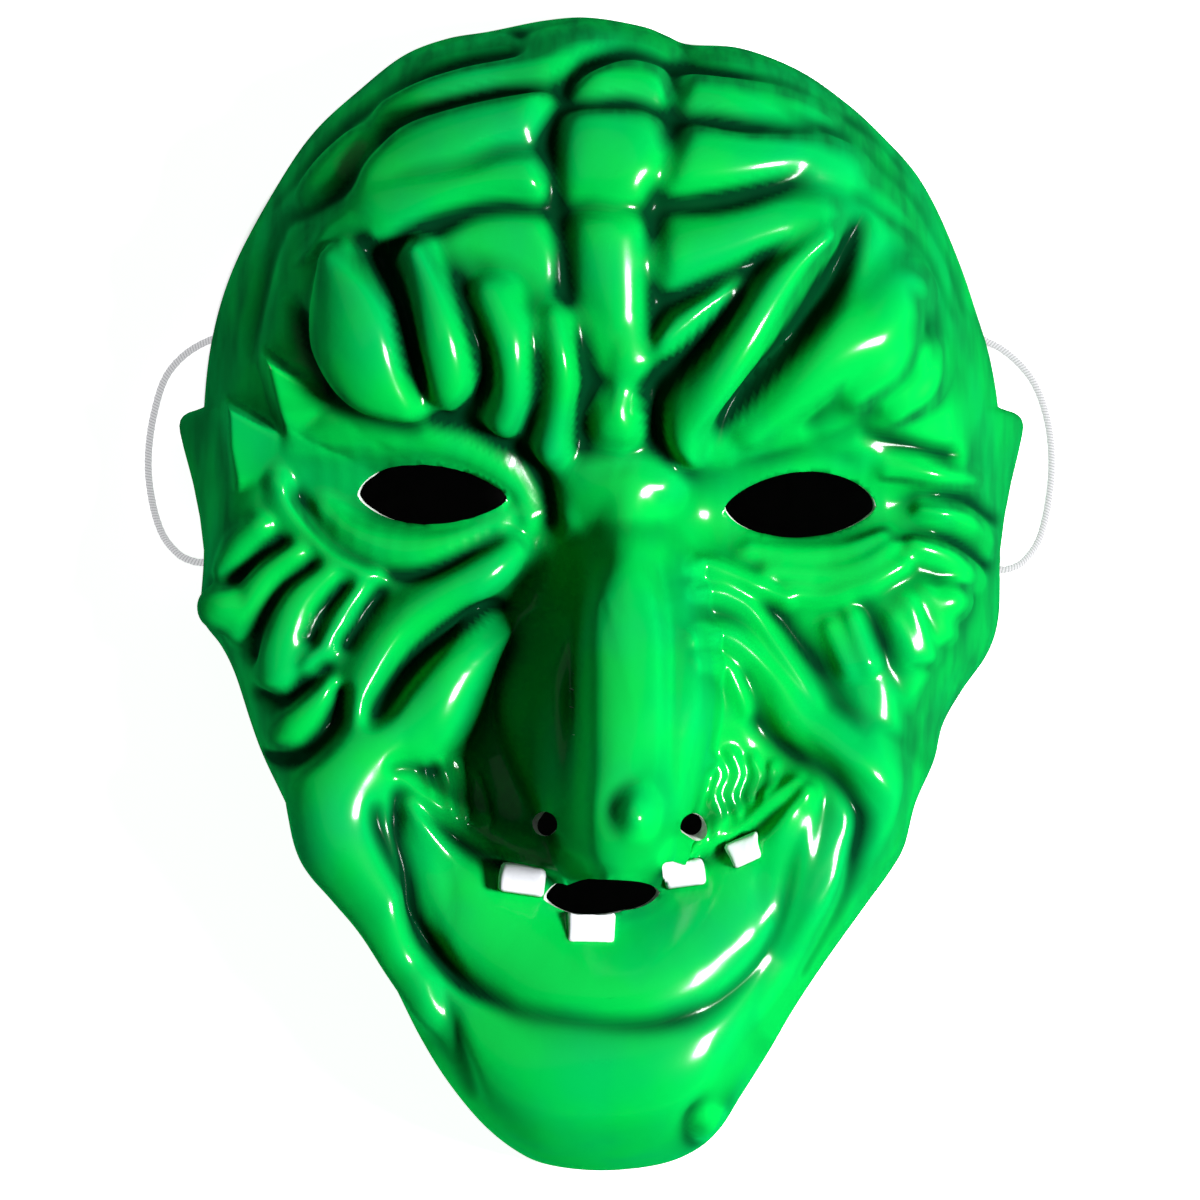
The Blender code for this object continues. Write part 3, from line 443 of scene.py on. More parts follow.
# Creases cut into the folds
CREASES: dict[str, Stroke] = {
    "crown": (4.2, (-13, 104.8, 2.4, 0.4), (-9, 105.3, 3.4), (4, 111.6, 3.6), (16, 109.4, 3.2),
        (38, 105, 2, 0.5), (55, 95.5, 1.8, 0.4), (63, 87, 1.6, 0.3)),
    "crown_notch_left": (3, (-21, 120, 4), (-17, 116, 3.6), (-15, 112, 3, 0.7)),
    "crown_notch_right": (3, (19, 118, 4), (16.5, 110, 3, 0.8)),
    "left_top": (3.4, (-68, 80, 2, 0.5), (-55.5, 95.3, 3.2), (-42, 104.6, 3.2), (-28, 110, 3),
        (-20, 111.3, 2.6), (-15, 111.8, 2, 0.6)),
    "left_forehead": (4.6, (-7.5, 104.5, 3), (-22, 103.4, 3.4), (-39, 98.8, 3.8), (-45, 94.8, 4.2),
        (-54, 84.6, 4.2), (-66, 77, 3, 0.6)),
    "left_middle": (2.4, (-46, 85, 1.8, 0.3), (-30, 87, 2.6), (-20, 90.8, 3.2), (-13, 91.3, 3.4)),
    "left_lower": (4.6, (-9, 77, 4), (-14, 79.3, 4), (-27, 79, 4.4), (-45, 70.5, 3.4)),
    "column_left": (5.2, (-8, 105, 3), (-11, 95, 5), (-10, 83, 3.8), (-9, 77, 5), (-7.8, 70.5, 3.6, 0.8),
        (-7.2, 57, 3.2, 0.7), (-3.2, 45.5, 3.2, 0.7)),
    "upper_row": (4, (-10, 99.2, 3.6), (-5, 101, 3.2), (7, 101.3, 2.6), (15, 99, 3)),
    "column_right": (4.6, (15.3, 110, 2.6), (15, 95, 4.2), (12.8, 85, 3, 0.6), (10.8, 80, 4),
        (11, 62, 3.2, 0.7), (10.2, 49, 2.6, 0.5)),
    "lower_row": (4.2, (-9, 77.5, 4), (-4, 78.9, 3.4), (6, 78.4, 3, 0.8), (10.8, 78.5, 3.6)),
    "right_upper": (3.4, (15, 98.8, 3.6), (20, 98.4, 3.4), (30, 95.7, 2.8), (42.5, 94.8, 1.6, 0.6)),
    "right_upper_tail": (1.5, (34, 100, 1.6, 0.3), (41, 98.2, 2), (53, 92, 2.6), (63.5, 83, 2.4),
        (71.5, 69, 2), (75, 58, 1.6)),
    "right_middle": (4.4, (10.8, 79, 4), (15, 80.2, 4), (27, 81.3, 4), (41, 85.8, 2.4, 0.6)),
    "right_middle_tail": (1.3, (48, 84.5, 1.4, 0.4), (55, 80.8, 2), (66, 72.4, 2.2), (72.5, 58, 1.6)),
    "right_lower": (3.2, (11, 59.5, 2.6), (21, 62.8, 3.6), (33, 69, 2.6), (39, 72.5, 2, 0.6)),
    "right_frown_inner": (6.5, (33, 69.5, 2.4, 0.5), (25, 56.8, 3.6), (11, 42.6, 4.8), (9.8, 38.8, 4),
        (13.5, 29.5, 3, 0.6), (17.5, 25.5, 2.4, 0.4)),
    "right_frown_outer": (9, (54, 77.5, 2.4, 0.3), (48.5, 66.5, 5), (39.2, 52, 5.2), (29, 41, 4.4),
        (20, 35, 2.4, 0.3)),
    "left_frown_outer": (7.5, (-49.5, 73, 2.6, 0.6), (-46.6, 68.5, 4.4), (-42, 60, 3.2), (-38.6, 48, 2.7),
        (-35.8, 39.5, 2.4, 0.7)),
    "left_frown_middle": (5.2, (-37, 74, 2.4, 0.4), (-29.4, 61.5, 3.4), (-23.3, 45.3, 3.8),
        (-28.5, 37.2, 2.8)),
    "left_frown_inner": (4, (-13.6, 53, 2, 0.4), (-12.8, 47, 3), (-13, 41, 3.2), (-17.3, 31, 2.6)),
    "left_brow_field": (1.2, (-28, 70.5, 2.4, 0.5), (-22, 64.5, 3), (-16, 58.5, 2.6, 0.6)),
    "left_brow_underside": (5.6, (-64, 60, 3, 0.5), (-62.5, 54.5, 4.4), (-60.7, 48.5, 4.2), (-52, 39.2, 3.2),
        (-40, 35.5, 2.8), (-34.5, 36, 3), (-21.5, 30.8, 3.2), (-14, 24.5, 4), (-11, 14, 3.6, 0.7)),
    "frown_knob_side": (4, (0, 43.3, 2.4), (-3.2, 40.5, 3.2), (-4.6, 31, 2.4, 0.6)),
    "right_lid_upper": (1.3, (28, 29.3, 1.6), (40, 33.5, 2), (49, 42, 1.4)),
    "right_lid_outer": (1.6, (44, 30.6, 1.8), (50, 32.2, 2.2), (61, 39.5, 1.6)),
    "right_lid_edge": (1.6, (28, 27.3, 1.6), (44, 28.3, 2.4), (51, 27.4, 2.2)),
    "right_brow_underside": (3.4, (54, 32.8, 2), (59, 31, 3), (72, 28.3, 3)),
    "right_brow_ring": (1.4, (61.5, 61.5, 1.6), (65.5, 57, 2), (67.3, 51, 2.2), (66.2, 45.5, 2),
        (62.8, 40.2, 1.8)),
    "right_crow_upper": (2.4, (61, 18.6, 2.6, 0.4), (66, 19.4, 3.4), (75, 19.5, 3), (81, 15.5, 2.4)),
    "right_crow_lower": (2.2, (64, 12.6, 2.6, 0.5), (75, 10, 2.6), (80, 5.5, 2)),
    "left_lid": (2.8, (-63, 20.5, 2.6), (-58.5, 13.4, 2.8), (-52, 7.9, 2.8), (-37, 4.2, 2.8), (-22, 11, 2.2)),
    "left_cheek": (6, (-20, -2.5, 2.4, 0.5), (-26, -4.3, 3.6), (-37, -12.3, 5), (-44.5, -22.5, 4.6),
        (-47.5, -26.5, 3, 0.6)),
    "left_crow_1": (3.6, (-66, 11, 2.2), (-70.5, 8.3, 3), (-75.5, 3.6, 2.8)),
    "left_crow_2": (3.2, (-59.5, 6.3, 2), (-65.5, 1.8, 2.8), (-70, -5.8, 3), (-72, -13, 2.4)),
    "left_crow_3": (3.2, (-52.5, 2.5, 2), (-57, -3, 3), (-59.8, -9.5, 3)),
    "left_crow_4": (3, (-45.5, 0.5, 2), (-52.5, -10, 3)),
    "left_jaw_upper": (4, (-71, -20.5, 2.6), (-66, -21.8, 3.6), (-57, -15, 2.6)),
    "left_jaw_lower": (5.6, (-71, -33, 2.6), (-64, -34.3, 4.6), (-58.5, -31, 5), (-54.5, -25.5, 4),
        (-53.5, -20, 2.6)),
    "right_cheek_upper": (2.6, (33, -0.5, 3, 0.4), (37, -6, 5), (45, -15.5, 6), (53, -29, 5, 0.5)),
    "right_cheek_lower": (2, (52.5, -1, 3, 0.4), (56.5, -7, 4.4), (62, -20, 4.6, 0.7), (65, -29, 3, 0.3)),
    "right_laugh_line": (5.6, (29, -17, 3, 0.25), (31.5, -25, 4, 0.45), (35.5, -30.5, 4.2, 0.55),
        (43, -33.6, 4.4, 0.65), (49, -38.6, 4.6, 0.9), (53.4, -46, 5), (52.6, -55, 5), (49, -64, 4, 0.7),
        (41, -78, 3, 0.4)),
    "left_mouth_corner": (3, (-46.8, -44, 1.8), (-46, -49, 2.4), (-41, -60.5, 2.2)),
    "lower_lip": (5.2, (-42.6, -41, 2, 0.4), (-41.6, -50, 2.4, 0.4), (-39.6, -58, 3, 0.8),
        (-38.6, -65, 4.2, 1.4), (-35.6, -72.5, 4.6, 1.5), (-29.5, -79, 3.6), (-21.5, -83.3, 2.6, 0.7),
        (-15, -85.8, 2.2, 0.6), (2, -88.2, 2.2, 0.6), (14, -87.4, 2.2, 0.6), (24, -83.4, 2.4, 0.5),
        (33, -74.4, 2.4, 0.4), (37.5, -63.4, 2, 0.35), (42, -45.4, 2, 0.3)),
    "left_temple_groove": (3.2, (-63, 83, 2.4, 0.5), (-69.5, 69, 4), (-72.2, 58, 4), (-73, 50, 3, 0.5)),
    "upper_lip_left": (4.5, (-41.5, -41, 1.8, 0.5), (-34, -47.8, 2.6), (-26, -53.2, 2.8), (-19, -56, 2.4),
        (-10, -58, 2, 0.6)),
    "upper_lip_right": (3.6, (12, -57, 2, 0.5), (22, -53.8, 2.4), (32, -48.6, 2.4), (41, -41, 1.8, 0.5)),
    "left_smile": (3, (-43.5, -36.3, 2), (-40, -35.5, 2.8), (-35, -36, 2.4)),
    "chin_flank": (2.4, (-33, -80.5, 3), (-29.5, -96, 4.5), (-27, -103, 3)),
    "nose_wart_side": (3.6, (6.2, -38.8, 1.6, 0.5), (3.2, -41.3, 2.4), (2.4, -45, 2.6),
        (3.8, -48.4, 1.8, 0.6)),
    "chin_wart_side": (3, (20.4, -104.6, 1.8, 0.5), (18.3, -107.6, 2.2), (18.2, -111.4, 2.2),
        (20.2, -113.8, 1.8, 0.6)),
}
# The rim seen from above, counter-clockwise from the crown's left: x, y
RIM: Table = (
    (-2.5, 120), (8.3, 118.2), (13.5, 116.2), (18, 114.4), (29, 113.6), (41, 109), (51, 102.1), (58.1, 95.6),
    (65, 88), (69.8, 79.8), (74.4, 68.8), (77.9, 58.3), (80.7, 49), (82.6, 37), (82.9, 22), (82.9, 5),
    (82.5, -5.4), (80.2, -12.5), (75, -20), (71, -27.1), (69.1, -34.8), (65.3, -43.5), (63, -52.3),
    (60, -57.7), (54.4, -65.4), (46.3, -76.7), (39.8, -86.5), (34.6, -95.4), (28.8, -104.6), (24.6, -111.2),
    (19.4, -115.8), (11.7, -118.8), (0, -120), (-11, -118.8), (-17.9, -115.8), (-25, -110), (-32.1, -101.3),
    (-37.9, -91.9), (-43.8, -80.2), (-49.6, -70.8), (-55.4, -63.1), (-61.5, -55.2), (-65, -45.2),
    (-70.2, -34.2), (-72.9, -27.1), (-76.3, -16.7), (-79.2, -10.8), (-82.6, -6.3), (-83.5, -2.5),
    (-82.9, 7.3), (-82.8, 22), (-82.9, 37), (-81, 53.5), (-76.3, 68.8), (-67.5, 85.2), (-59.8, 96.3),
    (-50.4, 105), (-41.3, 112.1), (-32.3, 115.6), (-23.5, 117.1), (-11.9, 119.4),
)
# Height of the face's middle line over y, chin first
PROFILE: Table = (
    (-122, 46), (-113, 54), (-103, 58), (-90, 58), (-75, 55), (-55, 55), (-35, 54), (-15, 53), (5, 53),
    (28, 56), (45, 61), (62, 63), (80, 63), (98, 60), (112, 54), (122, 44),
)
# How far the face falls from its middle line to this distance at the side
CROSS_FALL = 12.0
CROSS_HALF_WIDTH = 80.0
# How squarely the side wall turns into the face, by direction in degrees
SHOULDER: Table = (
    (-180, 34), (-165, 34), (-150, 44), (-120, 44), (-105, 30), (-90, 22), (-60, 18), (-30, 15), (0, 16),
    (35, 13), (60, 12), (90, 13), (115, 11), (125, 10), (135, 6.5), (145, 4.6), (152, 5.5), (163, 14),
    (172, 26), (180, 34),
)
# Nose, bridge and the nose's wings: x, y, half width, height above the face
NOSE: Table = (
    (5.2, 9, 3, 6), (5, 1, 7.6, 16.5), (5, -8, 9.8, 22.5), (5, -18, 10.3, 26.5), (4.9, -33, 10.8, 32),
    (4.8, -43, 11.2, 36), (4.8, -50.5, 11, 36.5),
)
BRIDGE: Table = (
    (5.5, 22, 7, 0), (5.4, 15, 11, 6), (5.2, 8, 12.5, 13), (5, 0, 13, 18.5), (5, -12, 13, 22),
)
WINGS: tuple[Table, ...] = (
    ((12, 8, 6.5, 3), (12.3, -2, 8, 11), (12.8, -12, 9.8, 17), (12.8, -22, 10.8, 21), (11.5, -32, 10.4, 26),
        (9.5, -41, 10, 31), (6.5, -48, 8.6, 33)),
    ((-12, -12, 8, 4), (-14, -23, 8, 8), (-9.5, -37, 7, 15), (-3.5, -49, 6, 24)),
)
# How sharply these meet
WING_BLEND = 1.0
# Wrinkles over the upper lip: x, y, half width
LIP_WRINKLES: tuple[Table, ...] = (
    ((-36.5, -36, 1.2), (-35.3, -40.5, 1)),
    ((-33.7, -35, 1.5), (-32, -39, 1.8), (-31.8, -43.5, 1.2)),
    ((-30.2, -34.5, 1.3), (-29, -39, 1.7), (-28.6, -45, 1.2)),
    ((-26.2, -38, 1.3), (-24.4, -43, 1.6), (-23.5, -48, 1.2)),
    ((21.5, -33.5, 1.6), (24, -37, 2.2), (22.5, -41, 1.8), (24, -45, 1.6), (22.5, -48, 1.2)),
    ((26.5, -33, 1.8), (27.8, -37, 2.2), (26.2, -41, 2), (27.5, -44.5, 1.4)),
    ((31, -34, 1.4), (32, -37.5, 2), (30.2, -41.5, 1.7)),
    ((35.2, -35.4, 1.3), (34.8, -38.5, 1.7), (33.6, -41, 1.2)),
)
WRINKLE_HEIGHT = 1.7
# Flat pointed flaps: corners x and y, and height of the flap there
FLAPS: tuple[Table, ...] = (
    ((-62.8, 68.4, 49.5), (-57, 76.4, 51), (-52, 79, 54), (-47.5, 77.5, 57), (-46.5, 72.5, 57.5),
        (-53, 69, 54.5)),
    ((-70.3, 50, 51), (-54, 39.5, 52), (-46, 34, 46), (-50, 28, 42), (-62, 29, 46), (-67, 37, 49)),
    ((-77.8, 40, 43), (-66, 33, 47), (-58, 29, 44), (-62, 24, 42), (-68.5, 25, 45), (-75.5, 21.8, 42),
        (-77.3, 30, 43)),
)
# Distance over which a flap's edge comes down to the face
FLAP_EDGE = 1.8
TEETH = (
    Tooth((-16.3, -58.6), 4.6, 3.1, -4.0, 6.5), Tooth((16.7, -57.3), 4.1, 2.6, 5.0, 4.0),
    Tooth((29.6, -52.6), 4.0, 2.7, 22.0, 3.4), Tooth((-2.2, -69.6), 4.8, 4.1, -1.0, 2.6),
)
# Each ear: y against the distance out from the wall
EAR: Table = (
    (9, 0), (16, 0.9), (23, 2.3), (30, 4), (33.5, 4.8), (35, 5), (36.2, 4.8), (37.1, 4.2), (37.8, 3.1),
    (38.2, 1.8), (38.4, 0),
)
# Height at which an ear has run out, height over which it does, and the shares of the way to the rim
EAR_TOP = 34.0
EAR_FADE = 30.0
EAR_START = 0.9
EAR_BLEND = 0.04
# Shares of the way to the rim over which masses and folds fade there, and what share of a fold starts there
MASS_FADE = 0.12
RELIEF_FADE = 0.03
RIM_RELIEF = 0.25
# Upward part of the normal below which folds no longer widen the side wall
WALL_STEEPNESS = 0.6
# Folds on the nose and its foot rise straight up by this share, from this height of the nose on
NOSE_FIRMNESS = 0.9
NOSE_FOOT = 2.0
# How many times each kind of form is evened out over the sheet
RELIEF_SOFTNESS = 4
NOSE_SOFTNESS = 3
NORMAL_SOFTNESS = 10
FLAP_SOFTNESS = 1
WRINKLE_SOFTNESS = 1
# What each point keeps of its own value at each time
KEPT_SHARE = 0.25

EYES = (
    Eye((-50.0, 20.4), (-19.5, 20.0), peaks=(0.52, 0.45), lifts=(-6.2, 6.6)),
    Eye((25.6, 17.7), (56.1, 18.0), peaks=(0.47, 0.55), lifts=(-6.0, 6.9)),
)
# The mouth slit's outline and the nostrils' middles
MOUTH: Table = (
    (-11.5, -62), (-9, -59.6), (-5, -58.8), (0, -58.6), (5, -58.8), (8, -59.2), (10.4, -60.2), (11.3, -61.4),
    (10, -63), (7.5, -64.4), (3, -65.3), (0, -65.8), (-5, -65.8), (-8, -65), (-10.5, -63.6),
)
NOSTRILS: Table = ((-11.7, -47.2), (18.6, -47.6))
# The elastic's holes: side of the mask, y
ELASTIC_EXITS: Table = ((-1.0, 6.5), (1.0, 5.0))
# y of the temple arches' middle, how far out they start, and the height up to which the wall makes room
ARCH_MIDDLE = 53.0
ARCH_REACH = 60.0
SQUEEZE_HEIGHT = 20.0
# Reach over the disc of the face's points and of its normals, and the normals' step
RIM_LIMIT = 0.9999
NORMAL_LIMIT = 0.993
NORMAL_STEP = 0.004
# Where on the disc the side wall is looked for, at how many places, and from how many sides the inner surface
# is kept a wall's thickness behind the outer one
WALL_REACH = (0.7, RIM_LIMIT)
WALL_SAMPLES = 400
WALL_SIDES = 6
# Shares of the spacing that filling points keep from the rim and from rings, and when two points are one
RIM_GAP = 0.4
RING_GAP = 0.45
MERGE = 1e-7

# The elastic's route in millimetres, from the left side hole round both loops to the right side hole
ELASTIC_ROUTE: Table = (
    (-82.4, 6.5, 7), (-85, 6.8, 7), (-88.2, 8.4, 5.8), (-91.5, 12.5, 3), (-93.6, 19, 1.2), (-94.5, 27.5, 0.9),
    (-93.3, 37.5, 0.9), (-90, 46.5, 0.9), (-82.5, 52.5, 0.9), (-70, 55.5, 0.9), (-48, 54.5, 0.9),
    (-24, 50, 0.9), (0, 48, 0.9), (24, 49.5, 0.9), (48, 54, 0.9), (70, 55, 0.9), (81.5, 52, 0.9),
    (89, 45.5, 0.9), (92.6, 37, 0.9), (93.7, 27.5, 0.9), (92.8, 18, 1.2), (90.8, 11, 3), (87.6, 6.7, 5.8),
    (84.6, 5.2, 7), (82.2, 5, 7),
)


@dataclass
class FaceForm:
    """The mask's form over a unit disc whose edge is the rim, for a mask of some length in metres.

    The disc's points are spread by a mean section of the mask, of some depth for its half width.
    """

    length: float
    samples: int = 4000
    mean_depth: float = 0.36
    mean_power: int = 7

    def __post_init__(self) -> None:
        """Works out the unit in metres, the rim by direction and the spacing along a mean section."""
        rim = smooth_curve(RIM, 8, closed=True)
        self.unit = SNUG * self.length / np.ptp(rim[:, 1])
        angle = np.arctan2(rim[:, 1], rim[:, 0])
        order = np.argsort(angle)
        turn = 2.0 * math.pi
        self.rim_angle = np.r_[angle[order] - turn, angle[order], angle[order] + turn]
        self.rim_radius = np.tile(np.hypot(*rim[order].T), 3)
        share = 1.0 - (1.0 - np.linspace(0.0, 1.0, self.samples)) ** 3
        depth = self.mean_depth * np.sqrt(np.clip(1.0 - share**self.mean_power, 0.0, 1.0))
        along = np.r_[0.0, np.cumsum(np.hypot(np.diff(share), np.diff(depth)))]
        self.along, self.from_middle = along / along[-1], share
        self.profile = smooth_curve(PROFILE, 8).T
        self.shoulder, self.ear, self.tooth_side = (np.array(rows).T for rows in (SHOULDER, EAR, TOOTH_SIDE))

    def plan(self, disc: Array) -> tuple[Array, Array, Array]:
        """Lays points of the disc out over the outline.

        Args:
            disc: Points of the disc.

        Returns:
            Their x and y, their share of the way to the rim and their direction in radians.
        """
        angle = np.arctan2(disc[:, 1], disc[:, 0])
        share = np.interp(np.hypot(*disc.T), self.along, self.from_middle)
        return polar(share * np.interp(angle, self.rim_angle, self.rim_radius), angle), share, angle

    def disc_of(self, xy: Array) -> Array:
        """Finds the points of the disc that lie at x and y.

        Args:
            xy: Points over the outline.

        Returns:
            Points of the disc.
        """
        angle = np.arctan2(xy[:, 1], xy[:, 0])
        share = np.hypot(*xy.T) / np.interp(angle, self.rim_angle, self.rim_radius)
        return polar(np.interp(share, self.from_middle, self.along), angle)

    def bare(self, disc: Array) -> tuple[Array, Array]:
        """Shapes the face without its folds.

        Args:
            disc: Points of the disc.

        Returns:
            The face's points, and their share of the way to the rim.
        """
        xy, share, angle = self.plan(disc)
        z = np.interp(xy[:, 1], *self.profile) - CROSS_FALL * (xy[:, 0] / CROSS_HALF_WIDTH) ** 2
        squareness = np.interp(np.degrees(angle), *self.shoulder)
        z = z * np.sqrt(np.clip(1.0 - share**squareness, 0.0, 1.0))
        away_from_rim = smooth_step((1.0 - share) / MASS_FADE)
        for stroke in MASSES.values():
            z = z + away_from_rim * stroke_height(xy, stroke, Section.SWELL)
        return np.column_stack([xy, z + self.nose(xy)]), share

    def nose(self, xy: Array) -> Array:
        """Raises the nose and its wings above the face.

        Args:
            xy: The points.

        Returns:
            Their heights.
        """
        parts = [stroke_height(xy, (1.0, *rows), Section.BLOCK) for rows in (NOSE, *WINGS)]
        parts = np.array([*parts, stroke_height(xy, (1.0, *BRIDGE), Section.SWELL)])
        top = parts.max(axis=0)
        return np.maximum(top + np.log(np.exp((parts - top) * WING_BLEND).mean(axis=0)) / WING_BLEND, 0.0)

    def normals(self, disc: Array) -> Array:
        """Finds the bare face's outward directions.

        Args:
            disc: Points of the disc.

        Returns:
            Directions of length 1.
        """
        inner = drawn_in(disc, NORMAL_LIMIT)
        across, along = (
            self.bare(inner + step)[0] - self.bare(inner - step)[0] for step in np.eye(2) * NORMAL_STEP
        )
        normal = np.cross(across, along)
        return normal / np.linalg.norm(normal, axis=1)[:, None]

    def relief(self, xy: Array, share: Array) -> Array:
        """Raises the folds and cuts the creases.

        Args:
            xy: The points.
            share: Their share of the way to the rim.

        Returns:
            Their heights above the bare face.
        """
        rolls = np.maximum(
            highest_stroke(xy, FIRM_ROLLS.values(), Section.FIRM),
            highest_stroke(xy, SOFT_ROLLS.values(), Section.SOFT),
        )
        relief = rolls - highest_stroke(xy, CREASES.values(), Section.CREASE)
        return relief * smooth_step((1.0 - share) / RELIEF_FADE + RIM_RELIEF)

    def finish_form(self, face: Array, share: Array) -> Array:
        """Draws the ears out of the side walls and lifts the rim into its temple arches.

        Args:
            face: The face's points, which change.
            share: Their share of the way to the rim.

        Returns:
            The same points.
        """
        y = face[:, 1]
        ear = np.interp(y, *self.ear) * smooth_step((EAR_TOP - face[:, 2]) / EAR_FADE)
        face[:, 0] += np.sign(face[:, 0]) * ear * smooth_step((share - EAR_START) / EAR_BLEND)
        radius = ((ARCH_SPAN / 2) ** 2 + ARCH_HEIGHT**2) / (2 * ARCH_HEIGHT) / self.unit
        rise = np.sqrt(np.maximum(radius**2 - (y - ARCH_MIDDLE) ** 2, 0.0)) - radius + ARCH_HEIGHT / self.unit
        rise = np.where(np.abs(face[:, 0]) > ARCH_REACH, np.maximum(rise, 0.0), 0.0)
        low = face[:, 2] < SQUEEZE_HEIGHT
        squeezed = rise + face[:, 2] * (SQUEEZE_HEIGHT - rise) / SQUEEZE_HEIGHT
        face[:, 2] = np.where(low, squeezed, face[:, 2])
        return face

    def flap_lift(self, xy: Array, height: Array) -> Array:
        """Raises the pointed flaps.

        Args:
            xy: The points.
            height: The face's height there.

        Returns:
            How far the flaps stand above it.
        """
        lift = np.zeros(len(xy))
        for corners in FLAPS:
            table = np.array(corners, dtype=float)
            plane = np.column_stack([table[:, :2], np.ones(len(table))])
            level = np.linalg.lstsq(plane, table[:, 2], rcond=None)[0]
            rise = np.maximum(xy @ level[:2] + level[2] - height, 0.0)
            lift = np.maximum(lift, rise * smooth_step(0.5 - edge_distance(xy, corners) / FLAP_EDGE))
        return lift

    def outer(self, disc: Array, soften: Callable[..., Array] | None = None) -> Array:
        """Shapes the outer surface with its folds, flaps, teeth and ears.

        Args:
            disc: Points of the disc.
            soften: Evens values out over the sheet, a number of times.

        Returns:
            The surface's points.
        """
        disc = drawn_in(disc, RIM_LIMIT)
        bare, share = self.bare(disc)
        xy = bare[:, :2]
        relief = self.relief(xy, share)
        normals = self.normals(disc)
        nose = self.nose(xy)
        if soften is not None:
            wrinkles = highest_stroke(xy, [(WRINKLE_HEIGHT, *line) for line in LIP_WRINKLES], Section.FIRM)
            normals = np.column_stack([soften(column, NORMAL_SOFTNESS) for column in normals.T])
            normals /= np.linalg.norm(normals, axis=1)[:, None]
            relief = soften(relief, RELIEF_SOFTNESS) + soften(wrinkles, WRINKLE_SOFTNESS)
            bare[:, 2] += soften(nose, NOSE_SOFTNESS) - nose
        normals[:, :2] *= smooth_step(normals[:, 2:] / WALL_STEEPNESS)
        normals[:, :2] *= (1.0 - NOSE_FIRMNESS * smooth_step(nose / NOSE_FOOT))[:, None]
        face = bare + normals * relief[:, None]
        lift = self.flap_lift(xy, face[:, 2])
        face[:, 2] += lift if soften is None else soften(lift, FLAP_SOFTNESS)
        for tooth in TEETH:
            distance = tooth.distance(xy)
            under = distance < 0.0
            level = face[under, 2].mean() if under.any() else 0.0
            evened = TOOTH_EVENNESS * (level - face[:, 2]) + tooth.stand
            face[:, 2] += evened * np.interp(distance, *self.tooth_side)
        return self.finish_form(face, share)

    def inner(self, disc: Array) -> Array:
        """Shapes the inner surface, a wall's thickness behind the lowest of the relief round each point.

        Args:
            disc: Points of the disc.

        Returns:
            The surface's points.
        """
        disc = drawn_in(disc, RIM_LIMIT)
        bare, share = self.bare(disc)
        xy = bare[:, :2]
        wall = WALL / self.unit
        lowest = self.relief(xy, share)
        for shift in circle(WALL_SIDES, wall):
            lowest = np.minimum(lowest, self.relief(xy + shift, share))
        normals = self.normals(disc)
        behind = bare - normals * wall
        normals[:, :2] *= smooth_step(normals[:, 2:] / WALL_STEEPNESS)
        face = behind + normals * np.minimum(lowest, 0.0)[:, None]
        face[:, 2] = np.maximum(face[:, 2], 0.0)
        return self.finish_form(face, share)

    def on_wall(self, side: float, y: float, height: float, ring: Array) -> Array:
        """Finds where a ring lies on the side wall.

        Args:
            side: -1 for the left wall and 1 for the right.
            y: The ring's middle along the mask.
            height: The ring's middle above the rim.
            ring: Rows of offsets along the mask and upwards.

        Returns:
            The ring's disc points.
        """
        radii = np.linspace(*WALL_REACH, WALL_SAMPLES)
        face = self.outer(polar(radii, math.atan2(y, side * CROSS_HALF_WIDTH)))
        order = np.argsort(face[:, 2])
        radius = np.interp(height + ring[:, 1], face[order, 2], radii[order])
        out = np.abs(np.interp(height + ring[:, 1], face[order, 2], face[order, 0]))
        return polar(radius, np.arctan2(y + ring[:, 0], side * out))


